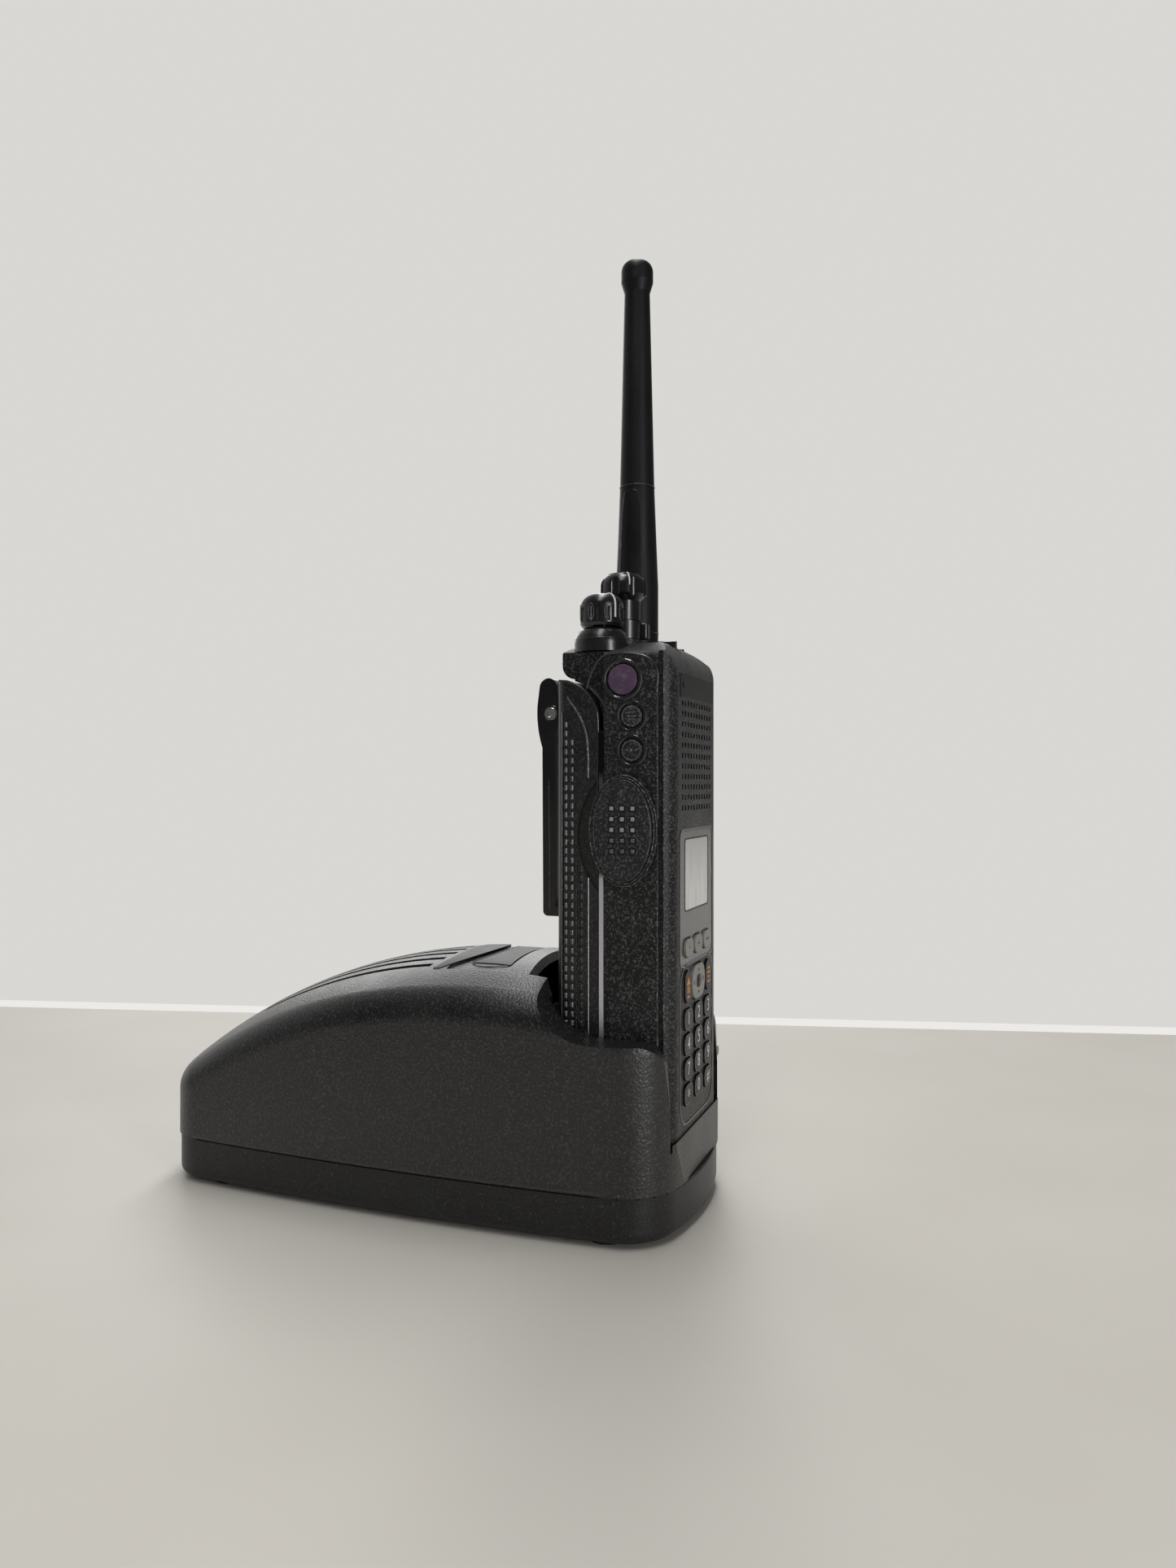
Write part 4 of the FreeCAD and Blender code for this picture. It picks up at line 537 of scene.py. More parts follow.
def around(centre, degrees, radius):
    """A place on a circle about an upright axis."""
    turn = math.radians(degrees)
    return centre[0] + radius * math.cos(turn), centre[1] + radius * math.sin(turn)


def from_outside(tree, axis, degrees, level, lift, reach=20):
    """A point of the surface met on the level way in to an upright axis."""
    return drape(tree, (*around(axis, degrees, reach), level), (*axis, level), lift)


def from_above(tree, place, lift):
    """A point of the surface met straight down over a place."""
    return drape(tree, (*place, ABOVE), (*place, 0), lift)


def from_front(tree, x, z, lift):
    """A point of the surface met straight back from before the keypad."""
    return drape(tree, (x, -AHEAD, z), (x, 0, z), lift)


def ring_from_above(tree, axis, radius, lift):
    """Points round an upright axis, dropped on the surface."""
    return [from_above(tree, around(axis, degrees, radius), lift) for degrees in range(0, 360, 20)]


def upright(across, *levels):
    """Points one above another."""
    return [(across, level) for level in levels]


# Where rays start, and places in millimetres: y and z on a side, x and z on the front, x and y on the top

ABOVE = 240
AHEAD = 140
SIDES = ((-1, "left"), (1, "right"))
TALK_BUTTON = (-79.8, 132.7)
PIP_CENTRE = (-79.9, 133.0)
PIP_PITCH = (3.65, 3.5)
SELECT_BUTTON = (-79.3, 182.3)
UPPER_BUTTON = (-82.4, 170.2)
LOWER_BUTTON = (-82.4, 159.0)
BAR_LEVEL = 164.6
SIDE_FACE = 28.9
BUTTON_FACE = 29.4
BATTERY_FACE = 28.1
LOWEST_RIB = 68.0
RIB_PITCH = 3.025
CLIP_PIN = (-46.8, 172.8)
FRONT_FACE = 96.3
SURROUND_FACE = 96.25
MARK_FACE = 97.15
SCREEN = (0, 117.4)
DISPLAY_COVER = (0, 109.9)
KEYPAD = (0, 60.7)
MENU_SPREAD = 11.6
MENU_LEVEL = 93.0
KEY_SPREAD = 12.6
KEY_RISE = 8.4
LOWEST_KEYS = 43.9
WING_SPREAD = 13.2
ROCKER_LEVEL = 80.0
VOLUME_AXIS = (-18.0, -68.0)
VOLUME_POINTS_TO = 237
CHANNEL_AXIS = (0.0, -69.5)
CHANNEL_POINTS_TO = 214
SWITCH_POINTS_TO = 262
ANTENNA_AXIS = (17.0, -69.0)
PANEL_TURN = 177.0
PANEL_LEVEL = 231.5


# The radio's side

def dress_talk_button():
    """Fifteen small square pips in three columns, each in its own socket, on the talk button."""
    tree = surface_tree("ptt_button")
    sockets = bmesh.new()
    for row in range(-2, 3):
        pips = bmesh.new()
        for column in (-1, 0, 1):
            y = PIP_CENTRE[0] + column * PIP_PITCH[0]
            z = PIP_CENTRE[1] + row * PIP_PITCH[1]
            level = -drape(tree, (-60, y, z), (0, y, z), 0).x
            pad(pips, "left", rounded(y, z, 1.3, 1.3, 0.2, 2), level - 0.1, 0.32, 0.14)
            square_band(sockets, "left", (y, z), (2.3, 2.3, 0.4), (1.5, 1.5, 0.3), level - 0.1, 0.15, 0.03, 2)
        # Painted shade: the two lowest rows take the darker glossy grey, the rows above the pale grey, darker
        # towards the foot of the button.
        shade = pip_grey if row > -1 else finish["glossy_painted_highlight"]
        finish_piece(pips, f"talk_button_pips_{row + 3}", "ptt_button", shade)
    finish_piece(sockets, "talk_button_sockets", "ptt_button", finish["key_black"])
    # The rings round the button and its edge carry painted highlight in pale flecks.
    for name, wide, tall in (("outer", 23.1, 36.3), ("inner", 21.2, 34.4)):
        path = [(-30.45, y, z) for y, z in oval(*TALK_BUTTON, wide, tall, 32)]
        bead("talk_ring_" + name, "radio", finish["radio_glint"], path, 0.24, True)
    path = [(-31.75, y, z) for y, z in oval(*TALK_BUTTON, 19.4, 33.2, 32)]
    bead("talk_button_edge", "ptt_button", finish["radio_glint"], path, 0.12, True)


def dress_side_controls():
    """Rings round the three side buttons, the bar between two of them and their blind marks, the bar and the
    marks paler as painted highlight.
    """
    mesh = bmesh.new()
    round_band(mesh, "left", SELECT_BUTTON, 13.8, 11.6, SIDE_FACE, 0.8, 0.3)
    for button in (UPPER_BUTTON, LOWER_BUTTON):
        round_band(mesh, "left", button, 10.6, 8.7, SIDE_FACE, 0.65, 0.26)
    finish_piece(mesh, "side_button_rings", "radio", finish["edge_gloss"])
    y, z = UPPER_BUTTON
    mesh = bmesh.new()
    pad(mesh, "left", rounded(y, BAR_LEVEL, 6.6, 1.2, 0.55, 3), SIDE_FACE, 0.55, 0.25)
    finish_piece(mesh, "side_button_bar", "radio", finish["radio_glint"])
    mesh = bmesh.new()
    for lift in (-1.2, 0.0, 1.2):
        pad(mesh, "left", rounded(y, z + lift, 3.0, 0.5, 0.2, 2), BUTTON_FACE, 0.2, 0.08)
    round_band(mesh, "left", UPPER_BUTTON, 6.6, 5.9, BUTTON_FACE, 0.18, 0.05, 28)
    finish_piece(mesh, "upper_button_marks", "side_button_upper", finish["glossy_painted_highlight"])
    y, z = LOWER_BUTTON
    mesh = bmesh.new()
    for shift in (-1.5, 0.0, 1.5):
        pad(mesh, "left", oval(y + shift, z, 0.9, 0.9, 12), BUTTON_FACE, 0.22, 0.08)
    round_band(mesh, "left", LOWER_BUTTON, 6.6, 5.9, BUTTON_FACE, 0.18, 0.05, 28)
    finish_piece(mesh, "lower_button_marks", "side_button_lower", finish["glossy_painted_highlight"])
    mesh = bmesh.new()
    round_band(mesh, "left", SELECT_BUTTON, 9.6, 8.8, BUTTON_FACE, 0.12, 0.04, 32)
    finish_piece(mesh, "select_button_edge", "select_button", finish["button_purple"])


def dress_radio_sides():
    """The contour of each side panel, the steps round the battery's arch and the edge of the front groove,
    the groove's edges and the chassis step flecked with painted highlight.
    """
    contour = [(-66.7, 179.7), (-67.9, 183.5), (-70.2, 188.0), (-72.6, 190.3), (-75.5, 190.9),
               (-80.0, 190.9), (-84.6, 190.3), (-88.4, 188.9), (-90.9, 186.0), (-91.0, 178.0)]
    arch = [(-66.7, 181.0), (-71.6, 176.0), (-74.2, 170.5), (-74.9, 165.7), (-74.9, 155.0)]
    lines = (
        ("side_contour_", 28.95, contour, "edge_gloss", 0.32),
        ("arch_step_", 28.6, arch, "edge_gloss", 0.42),
        # The groove's edge and lip and the chassis step take the finish with painted highlight.
        ("groove_edge_", 28.9, upright(-91.15, 40.0, 90.0, 140.0, 184.0), "radio_glint", 0.24),
        ("groove_lip_", 28.55, upright(-93.2, 40.0, 90.0, 140.0, 186.0), "radio_glint", 0.2),
        ("chassis_step_", 28.6, upright(-74.7, 33.0, 60.0, 90.0, 113.0), "radio_glint", 0.3),
    )
    for side, way in SIDES:
        for name, out, line, shade, radius in lines:
            path = [(side * out, y, z) for y, z in line]
            bead(name + way, "radio", finish[shade], path, radius)


def dress_battery():
    """Grip pads down each side, the bright seam, the smooth drop and edges, and the plate on the back; the
    near pads and the drop are paler, as painted highlight.
    """
    drop = [(-59.3, 177.2), (-61.1, 174.6), (-63.8, 170.7), (-65.8, 165.9), (-66.7, 160.0), (-66.9, 150.0)]
    quarter = [math.radians(90 * step / 8) for step in range(9)]
    arch = [(-56.4 - 13.9 * math.sin(turn), 168.8 + 13.9 * math.cos(turn)) for turn in quarter]
    arch += upright(-70.3, 150.0, 118.0)
    lines = (
        ("battery_seam_", 28.25, upright(-67.0, 36.0, 60.0, 90.0, 116.8), "seam_light", 0.2),
        ("battery_drop_", 28.2, drop, "glossy_painted_highlight", 0.4),
        ("battery_spine_", 28.15, upright(-57.4, 60.0, 100.0, 140.0, 172.0), "edge_gloss", 0.3),
        ("battery_arch_edge_", 28.15, arch, "edge_gloss", 0.36),
    )
    socket = ((2.5, 2.75, 0.4), (2.15, 2.4, 0.35))
    for side, face in SIDES:
        near = bmesh.new()
        far = bmesh.new()
        for row in range(35):
            z = LOWEST_RIB + row * RIB_PITCH
            for y, top in ((-58.9, 170), (-61.1, 164)):
                if z < top:
                    pad(near, face, rounded(y, z, 1.0, 1.9, 0.2, 2), BATTERY_FACE, 0.5, 0.28)
            if z < 122:
                square = (-63.9, z)
                pad(far, face, rounded(*square, 1.75, 2.1, 0.3, 2), BATTERY_FACE, 0.34, 0.2)
                square_band(far, face, square, *socket, BATTERY_FACE, 0.22, 0.05, 2)
        finish_piece(near, "battery_ribs_" + face, "battery", finish["glossy_painted_highlight"])
        finish_piece(far, "battery_squares_" + face, "battery", finish["battery_plastic"])
        for name, out, line, shade, radius in lines:
            path = [(side * out, y, z) for y, z in line]
            bead(name + face, "battery", finish[shade], path, radius)
    mesh = bmesh.new()
    pad(mesh, "back", rounded(0, 66.0, 42.0, 56.0, 3.0), -54.5, 0.3, 0.1)
    finish_piece(mesh, "battery_plate", "battery", finish["plate_satin"])


def dress_clip():
    """The clip's rivet head with its ring and dimple, and the rolled ribs down both edges of the arm, paler
    as painted highlight.
    """
    rib = ((-46.1, 104.0), (-46.1, 112.0), (-46.0, 130.0), (-45.8, 150.0))
    for side, face in SIDES:
        mesh = bmesh.new()
        round_band(mesh, face, CLIP_PIN, 5.9, 4.9, 11.9, 0.35, 0.12, 32)
        finish_piece(mesh, "rivet_well_" + face, "belt_clip", finish["edge_gloss"])
        mesh = bmesh.new()
        round_band(mesh, face, CLIP_PIN, 4.2, 2.2, 12.5, 0.3, 0.14, 32)
        pad(mesh, face, oval(*CLIP_PIN, 1.3, 1.3, 20), 12.5, 0.14, 0.06)
        finish_piece(mesh, "rivet_head_" + face, "battery", finish["pin_chrome"])
        path = [(side * 11.9, y, z) for y, z in rib]
        bead("clip_rib_" + face, "belt_clip", finish["glossy_painted_highlight"], path, 0.2)


# The radio's front

def dress_front():
    """The bare name plate, the small opening beside it as a black pad of painted shade, and the display
    cover's frame.
    """
    for name, slot, shade, outline, base, height, edge in (
        ("name_plate", "radio_plastic", "plate_satin", rounded(0.6, 180.9, 42.0, 8.2, 1.2), 96.3, 0.35, 0.12),
        ("plate_opening", "radio_plastic", "painted_shade_black", oval(-17.6, 181.0, 1.5, 2.3, 20), 96.55, 0.15, 0.05),
        ("window_pane", "lens_grey", "screen", rounded(*SCREEN, 29.2, 23.8, 1.3), 96.2, 0.2, 0.04),
    ):
        mesh = bmesh.new()
        pad(mesh, "front", outline, base, height, edge)
        finish_piece(mesh, name, "radio", finish[shade])
    mesh = bmesh.new()
    square_band(mesh, "front", SCREEN, (30.2, 24.8, 1.6), (29.1, 23.7, 1.2), FRONT_FACE, 0.2, 0.06)
    finish_piece(mesh, "window_frame", "radio", finish["key_black"])
    for name, centre, outer, inner, steps in (
        ("lens_surround", DISPLAY_COVER, (42.6, 46.2, 3.2), (41.2, 44.8, 2.7), 4),
        ("keypad_surround", KEYPAD, (42.6, 54.2, 8.6), (41.2, 52.8, 8.0), 6),
    ):
        mesh = bmesh.new()
        square_band(mesh, "front", centre, outer, inner, SURROUND_FACE, 0.35, 0.12, steps)
        finish_piece(mesh, name, "radio", finish["edge_gloss"])
    menu_keys = (("left", -MENU_SPREAD, 1), ("middle", 0, 2), ("right", MENU_SPREAD, 3))
    mesh = bmesh.new()
    for _, x, _ in menu_keys:
        place = (x, MENU_LEVEL)
        square_band(mesh, "front", place, (10.7, 7.1, 3.4), (10.1, 6.5, 3.1), FRONT_FACE, 0.2, 0.05, 5)
    finish_piece(mesh, "menu_key_rings", "radio", finish["key_black"])
    for name, x, dots in menu_keys:
        level = -from_front(surface_tree("menu_key_" + name), x, MENU_LEVEL, 0).y
        mesh = bmesh.new()
        for dot in range(dots):
            across = x + (dot - (dots - 1) / 2) * 1.5
            pad(mesh, "front", oval(across, MENU_LEVEL, 0.8, 0.8, 14), level - 0.05, 0.12, 0.03)
        finish_piece(mesh, "menu_dots_" + name, "menu_key_" + name, dark_mark)


def dress_keypad():
    """Digits and signs on the number keys, and the outlines of all the keys on the plate, with a pale line
    round each number key's face as painted highlight.
    """
    names = ["star", "0", "hash", "7", "8", "9", "4", "5", "6", "1", "2", "3"]
    rings = bmesh.new()
    for index, name in enumerate(names):
        row, column = divmod(index, 3)
        x = (column - 1) * KEY_SPREAD
        z = LOWEST_KEYS + row * KEY_RISE
        text = {"star": "*", "hash": "#"}.get(name, name)
        lower = -0.9 if name == "star" else 0.0
        stamp("digit_" + name, "key_" + name, white_mark, text, "front", x, z + lower, 97.2, 6.2)
        square_band(rings, "front", (x, z), (11.5, 8.2, 3.6), (10.9, 7.6, 3.3), FRONT_FACE, 0.3, 0.1, 5)
        # Painted highlight: the pale line round the key's face stands in for its lit edge.
        mesh = bmesh.new()
        square_band(mesh, "front", (x, z), (9.7, 6.4, 2.8), (9.2, 5.9, 2.5), 97.1, 0.14, 0.04, 5)
        finish_piece(mesh, "key_edge_" + name, "key_" + name, painted_edge_highlight)
    for x in (-WING_SPREAD, WING_SPREAD):
        place = (x, ROCKER_LEVEL)
        square_band(rings, "front", place, (8.9, 12.1, 4.2), (8.3, 11.5, 3.9), FRONT_FACE, 0.3, 0.1, 5)
    finish_piece(rings, "key_rings", "radio", finish["edge_gloss"])


def dress_upper_keys():
    """The house sign and the lines on the keys beside the rocker, and the rocker's arrows and middle."""
    mesh = bmesh.new()
    roof = [(-15.4, 80.6), (-11.0, 80.6), (-13.2, 83.4)]
    pad(mesh, "front", roof, MARK_FACE, 0.1)
    for x in (-14.15, -12.25):
        pad(mesh, "front", rounded(x, 79.0, 1.1, 2.4, 0.2, 2), MARK_FACE, 0.1)
    pad(mesh, "front", rounded(-WING_SPREAD, 76.6, 3.4, 0.7, 0.2, 2), MARK_FACE, 0.1)
    finish_piece(mesh, "home_mark", "home_key", orange_mark)
    mesh = bmesh.new()
    for lift, wide in ((2.4, 3.6), (0.8, 3.6), (-0.8, 2.4), (-2.4, 3.6)):
        pad(mesh, "front", rounded(WING_SPREAD, ROCKER_LEVEL + lift, wide, 0.75, 0.2, 2), MARK_FACE, 0.1)
    finish_piece(mesh, "data_mark", "data_key", orange_mark)
    tree = surface_tree("nav_rocker")
    mesh = bmesh.new()
    for across, along in ((1, 0), (-1, 0), (0, 1), (0, -1)):
        reach = 5.6 if across else 3.9
        foot = reach - 0.45
        corners = [(across * (reach + 0.75), ROCKER_LEVEL + along * (reach + 0.6))]
        for half in (0.85, -0.85):
            corners.append((across * foot + along * half, ROCKER_LEVEL + along * foot + across * half))
        low = [mesh.verts.new(from_front(tree, x, z, -0.1) * MM) for x, z in corners]
        high = [mesh.verts.new(from_front(tree, x, z, 0.07) * MM) for x, z in corners]
        join_rings(mesh, low, high)
        mesh.faces.new(high)
        mesh.faces.new(low[::-1])
    finish_piece(mesh, "nav_arrows", "nav_rocker", dark_mark)
    deep = -from_front(tree, 0, ROCKER_LEVEL, 0).y
    mesh = bmesh.new()
    pad(mesh, "front", oval(0, ROCKER_LEVEL, 6.0, 4.4, 32), deep - 0.1, 0.3, 0.2)
    finish_piece(mesh, "nav_centre", "nav_rocker", finish["key_black"])


# The radio's top

def dress_knobs():
    """Pale pointer lines, thumb ovals and rims on the two knobs, and marks on the ring and the collar; the
    thumb ovals are paler as painted highlight.
    """
    tree = surface_tree("volume_knob")
    path = [from_outside(tree, VOLUME_AXIS, VOLUME_POINTS_TO, z, 0.05) for z in (204.0, 206.5, 209.0, 210.5)]
    for radius in (6.2, 4.6, 2.8, 0.9):
        path.append(from_above(tree, around(VOLUME_AXIS, VOLUME_POINTS_TO, radius), 0.05))
    bead("volume_pointer", "volume_knob", white_mark, path, 0.34)
    for index in range(8):
        middle = VOLUME_POINTS_TO + 22.5 + index * 45
        ring = [from_outside(tree, VOLUME_AXIS, middle + turn, level, 0.02)
                for turn, level in oval(0, 206.0, 15.0, 5.4, 16)]
        name = f"volume_thumb_oval_{index}"
        bead(name, "volume_knob", finish["glossy_painted_highlight"], ring, 0.13, True)
    tree = surface_tree("channel_knob")
    path = [from_outside(tree, CHANNEL_AXIS, CHANNEL_POINTS_TO, z, 0.04) for z in (217.5, 219.0, 220.5)]
    for radius in (6.4, 5.0):
        path.append(from_above(tree, around(CHANNEL_AXIS, CHANNEL_POINTS_TO, radius), 0.04))
    bead("channel_pointer", "channel_knob", white_mark, path, 0.28)
    ring = ring_from_above(tree, CHANNEL_AXIS, 5.6, 0.02)
    bead("channel_crown_ring", "channel_knob", finish["edge_gloss"], ring, 0.16, True)
    tree = surface_tree("concentric_switch")
    path = [from_above(tree, around(CHANNEL_AXIS, SWITCH_POINTS_TO, radius), 0.05) for radius in (7.6, 8.6)]
    bead("switch_mark", "concentric_switch", white_mark, path, 0.3)
    tree = surface_tree("volume_collar")
    for name, radius in (("upper", 7.9), ("lower", 9.15)):
        ring = ring_from_above(tree, VOLUME_AXIS, radius, 0.0)
        bead("collar_rim_" + name, "radio", finish["edge_gloss"], ring, 0.13, True)


def dress_crown():
    """A pale ring round the top button, two tick marks for the toggle and the line round its slot."""
    tree = surface_tree("front_housing")
    ring = [from_above(tree, place, 0.0) for place in oval(9.0, -80.6, 9.0, 9.0, 24)]
    bead("top_button_ring", "radio", white_mark, ring, 0.14, True)
    for name, x in (("left", -8.6), ("right", 2.6)):
        path = [from_above(tree, (x, y), 0.0) for y in (-85.4, -87.4, -89.0)]
        bead("toggle_tick_" + name, "radio", white_mark, path, 0.14)
    ring = [from_above(tree, place, 0.0) for place in rounded(-3.0, -87.2, 8.8, 8.2, 2.0, 3)]
    bead("toggle_surround", "radio", finish["edge_gloss"], ring, 0.2, True)


def dress_antenna():
    """The bare raised panel on the antenna's sleeve, its foot ring and the seam under the whip."""
    tree = surface_tree("antenna_sheath")
    ring = [from_outside(tree, ANTENNA_AXIS, PANEL_TURN + turn, level, 0.03, 30)
            for turn, level in rounded(0, PANEL_LEVEL, 64.0, 47.0, 12.0, 4)]
    bead("antenna_panel_edge", "radio", finish["antenna_edge"], ring, 0.22, True)
    for name, level in (("foot", 203.5), ("step", 257.6)):
        ring = [from_outside(tree, ANTENNA_AXIS, PANEL_TURN + turn, level, 0.0, 30)
                for turn in range(0, 360, 20)]
        bead("antenna_ring_" + name, "radio", finish["antenna_edge"], ring, 0.2, True)


# The charger

CROWN_TOP = 87.3
CROWN_MIDDLE = -27.0
CROWN_CROSS_RADIUS = 100.0
CROWN_LONG_RADIUS = 208.0
CRESCENT_HALF = 26.6
PLATE_HALF = 20.0
PLATE_FRONT = -34.5
PLATE_SINK = -0.45


def hump_z(x, y):
    """Level of the charger's hump over a place, the same barrel as the CAD's."""
    across = CROWN_LONG_RADIUS - CROWN_CROSS_RADIUS + math.sqrt(CROWN_CROSS_RADIUS ** 2 - x * x)
    return CROWN_TOP - CROWN_LONG_RADIUS + math.sqrt(across * across - (y - CROWN_MIDDLE) ** 2)


def crescent_front(x):
    """The crescent's deeper curve, toward the radio."""
    return -22.5 + 12.6 * (x / CRESCENT_HALF) ** 2


def crescent_rear(x):
    """The crescent's shallower curve, toward the vents."""
    return -11.6 + 4.0 * (x / CRESCENT_HALF) ** 2


def plate_front(_):
    """The plate's straight front edge, the same at every x."""
    return PLATE_FRONT


def plate_rear(x):
    """The plate's bowed rear edge."""
    return -25.0 + 5.5 * (x / PLATE_HALF) ** 2


def sheet_over_hump(name, columns, front, rear, low, high):
    """A thin plate over the hump between two curves, front and rear, each a function of x."""
    mesh = bmesh.new()
    rows = 8
    grids = []
    for lift in (low, high):
        grid = []
        for x in columns:
            line = []
            for step in range(rows + 1):
                y = front(x) + (rear(x) - front(x)) * step / rows
                line.append(mesh.verts.new(Vector((x, y, hump_z(x, y) + lift)) * MM))
            grid.append(line)
        grids.append(grid)
    under, over = grids
    last = len(columns) - 1
    for i in range(last):
        for j in range(rows):
            mesh.faces.new((over[i][j], over[i + 1][j], over[i + 1][j + 1], over[i][j + 1]))
            mesh.faces.new((under[i][j], under[i][j + 1], under[i + 1][j + 1], under[i + 1][j]))
        for j in (0, rows):
            mesh.faces.new((over[i][j], over[i + 1][j], under[i + 1][j], under[i][j]))
    for j in range(rows):
        for i in (0, last):
            mesh.faces.new((over[i][j], over[i][j + 1], under[i][j + 1], under[i][j]))
    finish_piece(mesh, name, "charger", finish["plate_satin"])


def dress_hump():
    """The crescent step between the label field and the vents, and the bare framed plate in the field."""
    columns = [CRESCENT_HALF * (2 * i / 24 - 1) for i in range(25)]
    sheet_over_hump("hump_crescent", columns, crescent_front, crescent_rear, -1.2, 0.25)
    columns = [PLATE_HALF * (2 * i / 16 - 1) for i in range(17)]
    sheet_over_hump("hump_plate", columns, plate_front, plate_rear, -1.2, PLATE_SINK)
    edge = [(x, plate_front(x)) for x in columns] + [(x, plate_rear(x)) for x in columns[::-1]]
    path = [(x, y, hump_z(x, y) + PLATE_SINK) for x, y in edge]
    bead("hump_plate_edge", "charger", finish["charger_gloss"], path, 0.16, True)


def dress_charger():
    """The rolled edge above the parting line and, under it, a black bead of painted shade for the gap, all
    the way round.
    """
    for name, node, level, shade, radius, sink in (
        ("parting_edge", "top_housing", 17.75, "charger_gloss", 0.32, -0.2),
        # The gap is a black bead of painted shade, not a cut.
        ("parting_gap_shade", "base_tray", 16.5, "painted_shade_black", 0.55, -0.45),
    ):
        tree = surface_tree(node)
        path = [from_outside(tree, (0, 0), degrees, level, sink, 300) for degrees in range(0, 360, 3)]
        bead(name, "charger", finish[shade], path, radius, True, True)


# Stage, camera and lights

TABLE_EDGE = ((169.0, 428.0), (357.0, -290.0))
TRIM_DEPTH = 0.021
TABLE_SPAN = 6.0
WALL = (0.69, 0.682, 0.66)
CAMERA_PLACE = (-0.366, -0.1965, 0.148)
CAMERA_TURN = 21.0
FOCAL_LENGTH = 24.98
SENSOR = 36.0


def looking_rays(tree):
    """1 for what the camera, a mirror or a clear piece sees, and 0 for the light that falls on things."""
    rays = tree.nodes.new("ShaderNodeLightPath")
    seen = combine(tree, "ADD", rays.outputs["Is Camera Ray"], rays.outputs["Is Glossy Ray"])
    return combine(tree, "MINIMUM", combine(tree, "ADD", seen, rays.outputs["Is Transmission Ray"]), 1.0)


def stage_material():
    """A cream table as far as its far edge, and the pale wall's colour beyond it."""
    material, tree, shader, where = shader_tree("stage_table_finish")
    patch = noise(tree, where, 110.0, 2.0)
    table = blend_colours(tree, spread(tree, patch, 0.3, 0.7), (0.60, 0.575, 0.525), (0.635, 0.61, 0.56))
    tree.links.new(table, shader.inputs["Base Color"])
    shader.inputs["Roughness"].default_value = 0.5
    shader.inputs["Specular IOR Level"].default_value = 0.2
    (x1, y1), (x2, y2) = TABLE_EDGE
    length = math.hypot(x2 - x1, y2 - y1)
    across = ((y1 - y2) / length, (x2 - x1) / length)
    reach = across[0] * x1 + across[1] * y1
    along_x = combine(tree, "MULTIPLY", axis_of(tree, where, "X"), across[0])
    along_y = combine(tree, "MULTIPLY", axis_of(tree, where, "Y"), across[1])
    beyond = combine(tree, "SUBTRACT", combine(tree, "ADD", along_x, along_y), reach * MM)
    past_edge = combine(tree, "GREATER_THAN", beyond, 0.0)
    past_trim = combine(tree, "GREATER_THAN", beyond, TRIM_DEPTH)
    glow = tree.nodes.new("ShaderNodeEmission")
    tree.links.new(blend_colours(tree, past_trim, (0.84, 0.825, 0.80), WALL), glow.inputs["Color"])
    seen = combine(tree, "MULTIPLY", past_edge, looking_rays(tree))
    mix = tree.nodes.new("ShaderNodeMixShader")
    tree.links.new(seen, mix.inputs[0])
    tree.links.new(shader.outputs["BSDF"], mix.inputs[1])
    tree.links.new(glow.outputs["Emission"], mix.inputs[2])
    out = next(node for node in tree.nodes if node.type == "OUTPUT_MATERIAL")
    tree.links.new(mix.outputs["Shader"], out.inputs["Surface"])
    return material


def set_stage():
    """The table top, six metres across."""
    bpy.ops.mesh.primitive_plane_add(size=TABLE_SPAN, location=(0, 0, 0))
    table = bpy.context.object
    table.name = "stage_table"
    table.data.materials.append(stage_material())


def set_camera():
    """The photograph's own place: low and close, level with the radio's middle."""
    camera = bpy.data.cameras.new("photo_camera")
    camera.sensor_fit = "VERTICAL"
    camera.sensor_height = SENSOR
    camera.sensor_width = SENSOR
    camera.lens = FOCAL_LENGTH
    camera.clip_start = 0.02
    camera.clip_end = 30.0
    obj = bpy.data.objects.new("photo_camera", camera)
    SCENE.collection.objects.link(obj)
    obj.location = CAMERA_PLACE
    obj.rotation_euler = (math.radians(90), 0, math.radians(CAMERA_TURN - 90))
    SCENE.camera = obj


def area_light(name, place, aim, size, power):
    """A soft oblong lamp aimed at a point."""
    lamp = bpy.data.lights.new(name, "AREA")
    lamp.shape = "RECTANGLE"
    lamp.size = size[0]
    lamp.size_y = size[1]
    lamp.energy = power
    obj = bpy.data.objects.new(name, lamp)
    SCENE.collection.objects.link(obj)
    obj.location = place
    obj.rotation_euler = (Vector(aim) - Vector(place)).to_track_quat("-Z", "Y").to_euler()


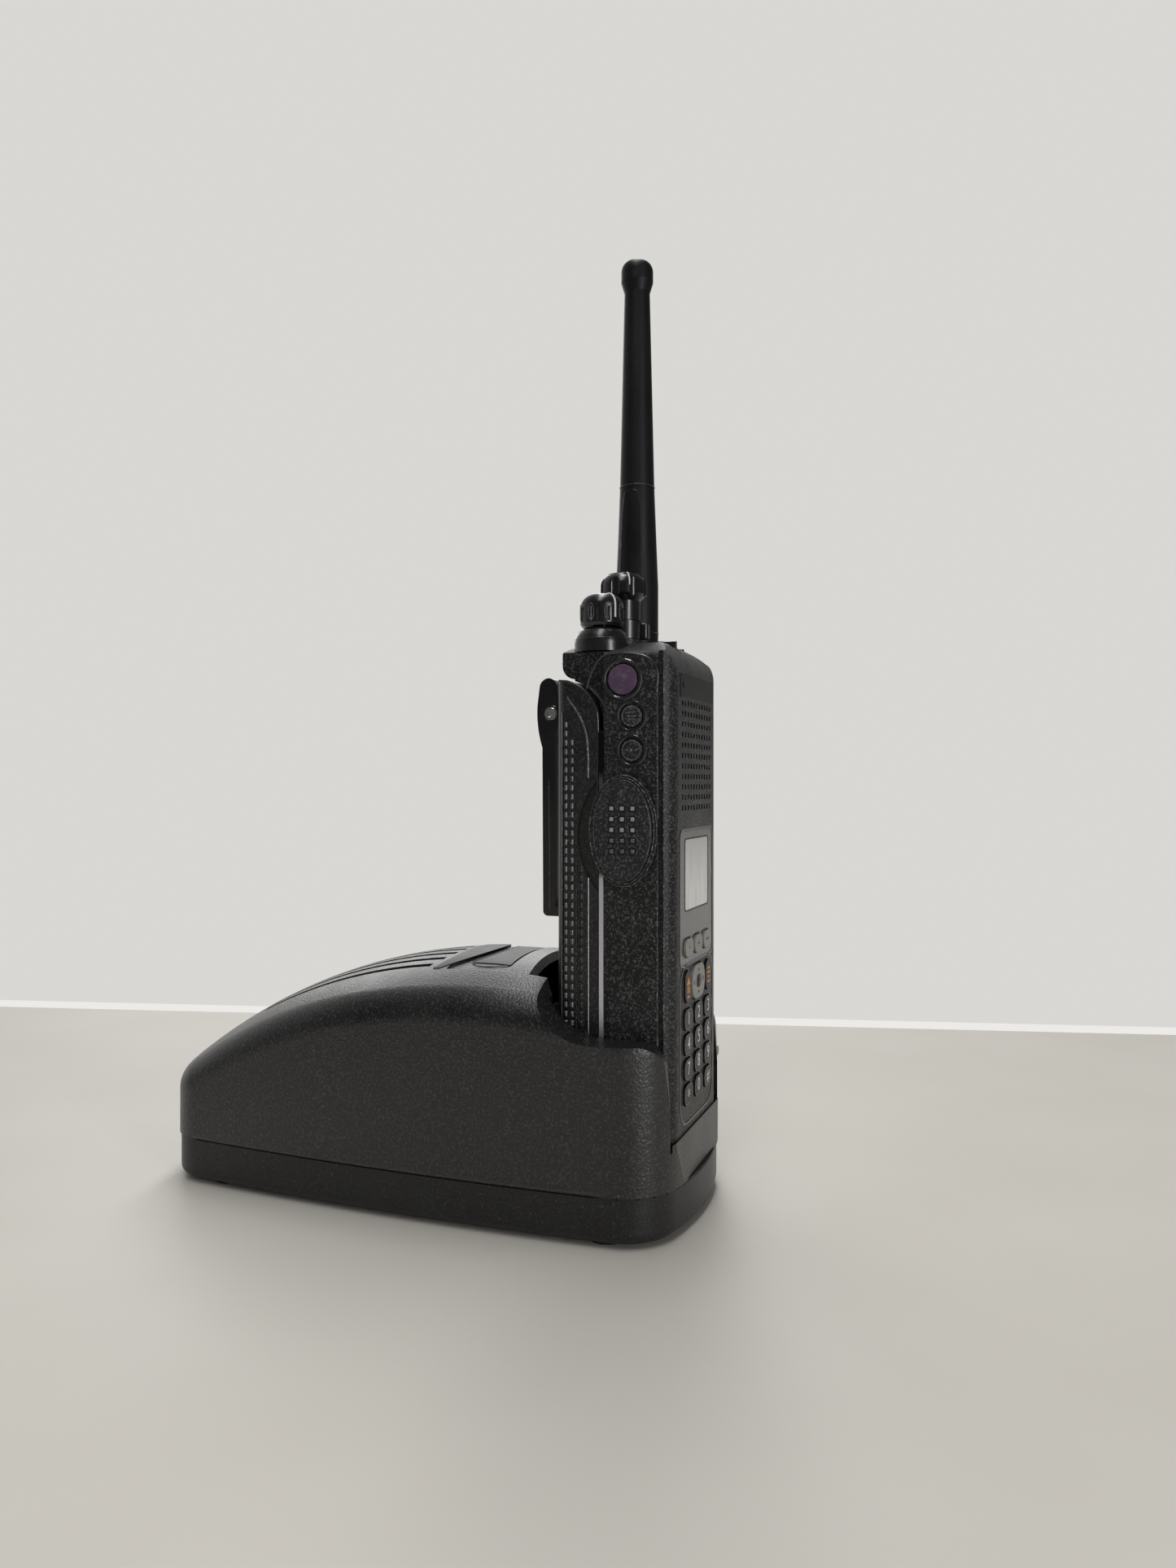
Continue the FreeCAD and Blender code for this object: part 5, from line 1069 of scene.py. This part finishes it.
def set_world():
    """A room dim behind the camera and pale beyond the table, where the camera sees an even wall."""
    world = bpy.data.worlds.new("room")
    SCENE.world = world
    world.use_nodes = True
    tree = world.node_tree
    room = tree.nodes["Background"]
    coords = tree.nodes.new("ShaderNodeTexCoord")
    parts = tree.nodes.new("ShaderNodeSeparateXYZ")
    tree.links.new(coords.outputs["Generated"], parts.inputs["Vector"])
    tilt_x = combine(tree, "MULTIPLY", parts.outputs["X"], 0.4)
    tilt_y = combine(tree, "MULTIPLY", parts.outputs["Y"], 0.5)
    tilt = combine(tree, "ADD", tilt_x, tilt_y)
    strength = spread(tree, tilt, 0.12, 0.6, 0.12, 0.7)
    tree.links.new(strength, room.inputs["Strength"])
    room.inputs["Color"].default_value = (0.9, 0.89, 0.87, 1.0)
    wall = tree.nodes.new("ShaderNodeBackground")
    wall.inputs["Color"].default_value = (*WALL, 1.0)
    rays = tree.nodes.new("ShaderNodeLightPath")
    mirrored = spread(tree, tilt, 0.1, 0.6, 0.14, 1.0)
    level = combine(tree, "MAXIMUM", mirrored, rays.outputs["Is Camera Ray"])
    tree.links.new(level, wall.inputs["Strength"])
    mix = tree.nodes.new("ShaderNodeMixShader")
    tree.links.new(looking_rays(tree), mix.inputs[0])
    tree.links.new(room.outputs["Background"], mix.inputs[1])
    tree.links.new(wall.outputs["Background"], mix.inputs[2])
    out = next(node for node in tree.nodes if node.type == "OUTPUT_WORLD")
    tree.links.new(mix.outputs["Shader"], out.inputs["Surface"])


def set_lights():
    """Two ceiling strips, a window beyond the table and a low lamp along the hall."""
    set_world()
    area_light("ceiling_strip_near", (-0.35, -0.1, 1.4), (0.0, -0.05, 0.0), (0.3, 1.6), 8.5)
    area_light("ceiling_strip_far", (0.55, 0.1, 1.4), (0.0, -0.05, 0.0), (0.3, 1.6), 8.5)
    area_light("window_light", (1.4, 0.9, 0.9), (0.0, 0.0, 0.1), (1.2, 0.9), 6)
    area_light("hall_light", (-0.75, -1.25, 0.3), (0.0, -0.06, 0.05), (0.22, 0.6), 6)
    SCENE.view_settings.view_transform = "Standard"


dress_nodes()
dress_talk_button()
dress_side_controls()
dress_radio_sides()
dress_battery()
dress_clip()
dress_front()
dress_keypad()
dress_upper_keys()
dress_knobs()
dress_crown()
dress_antenna()
dress_hump()
dress_charger()
set_stage()
set_camera()
set_lights()
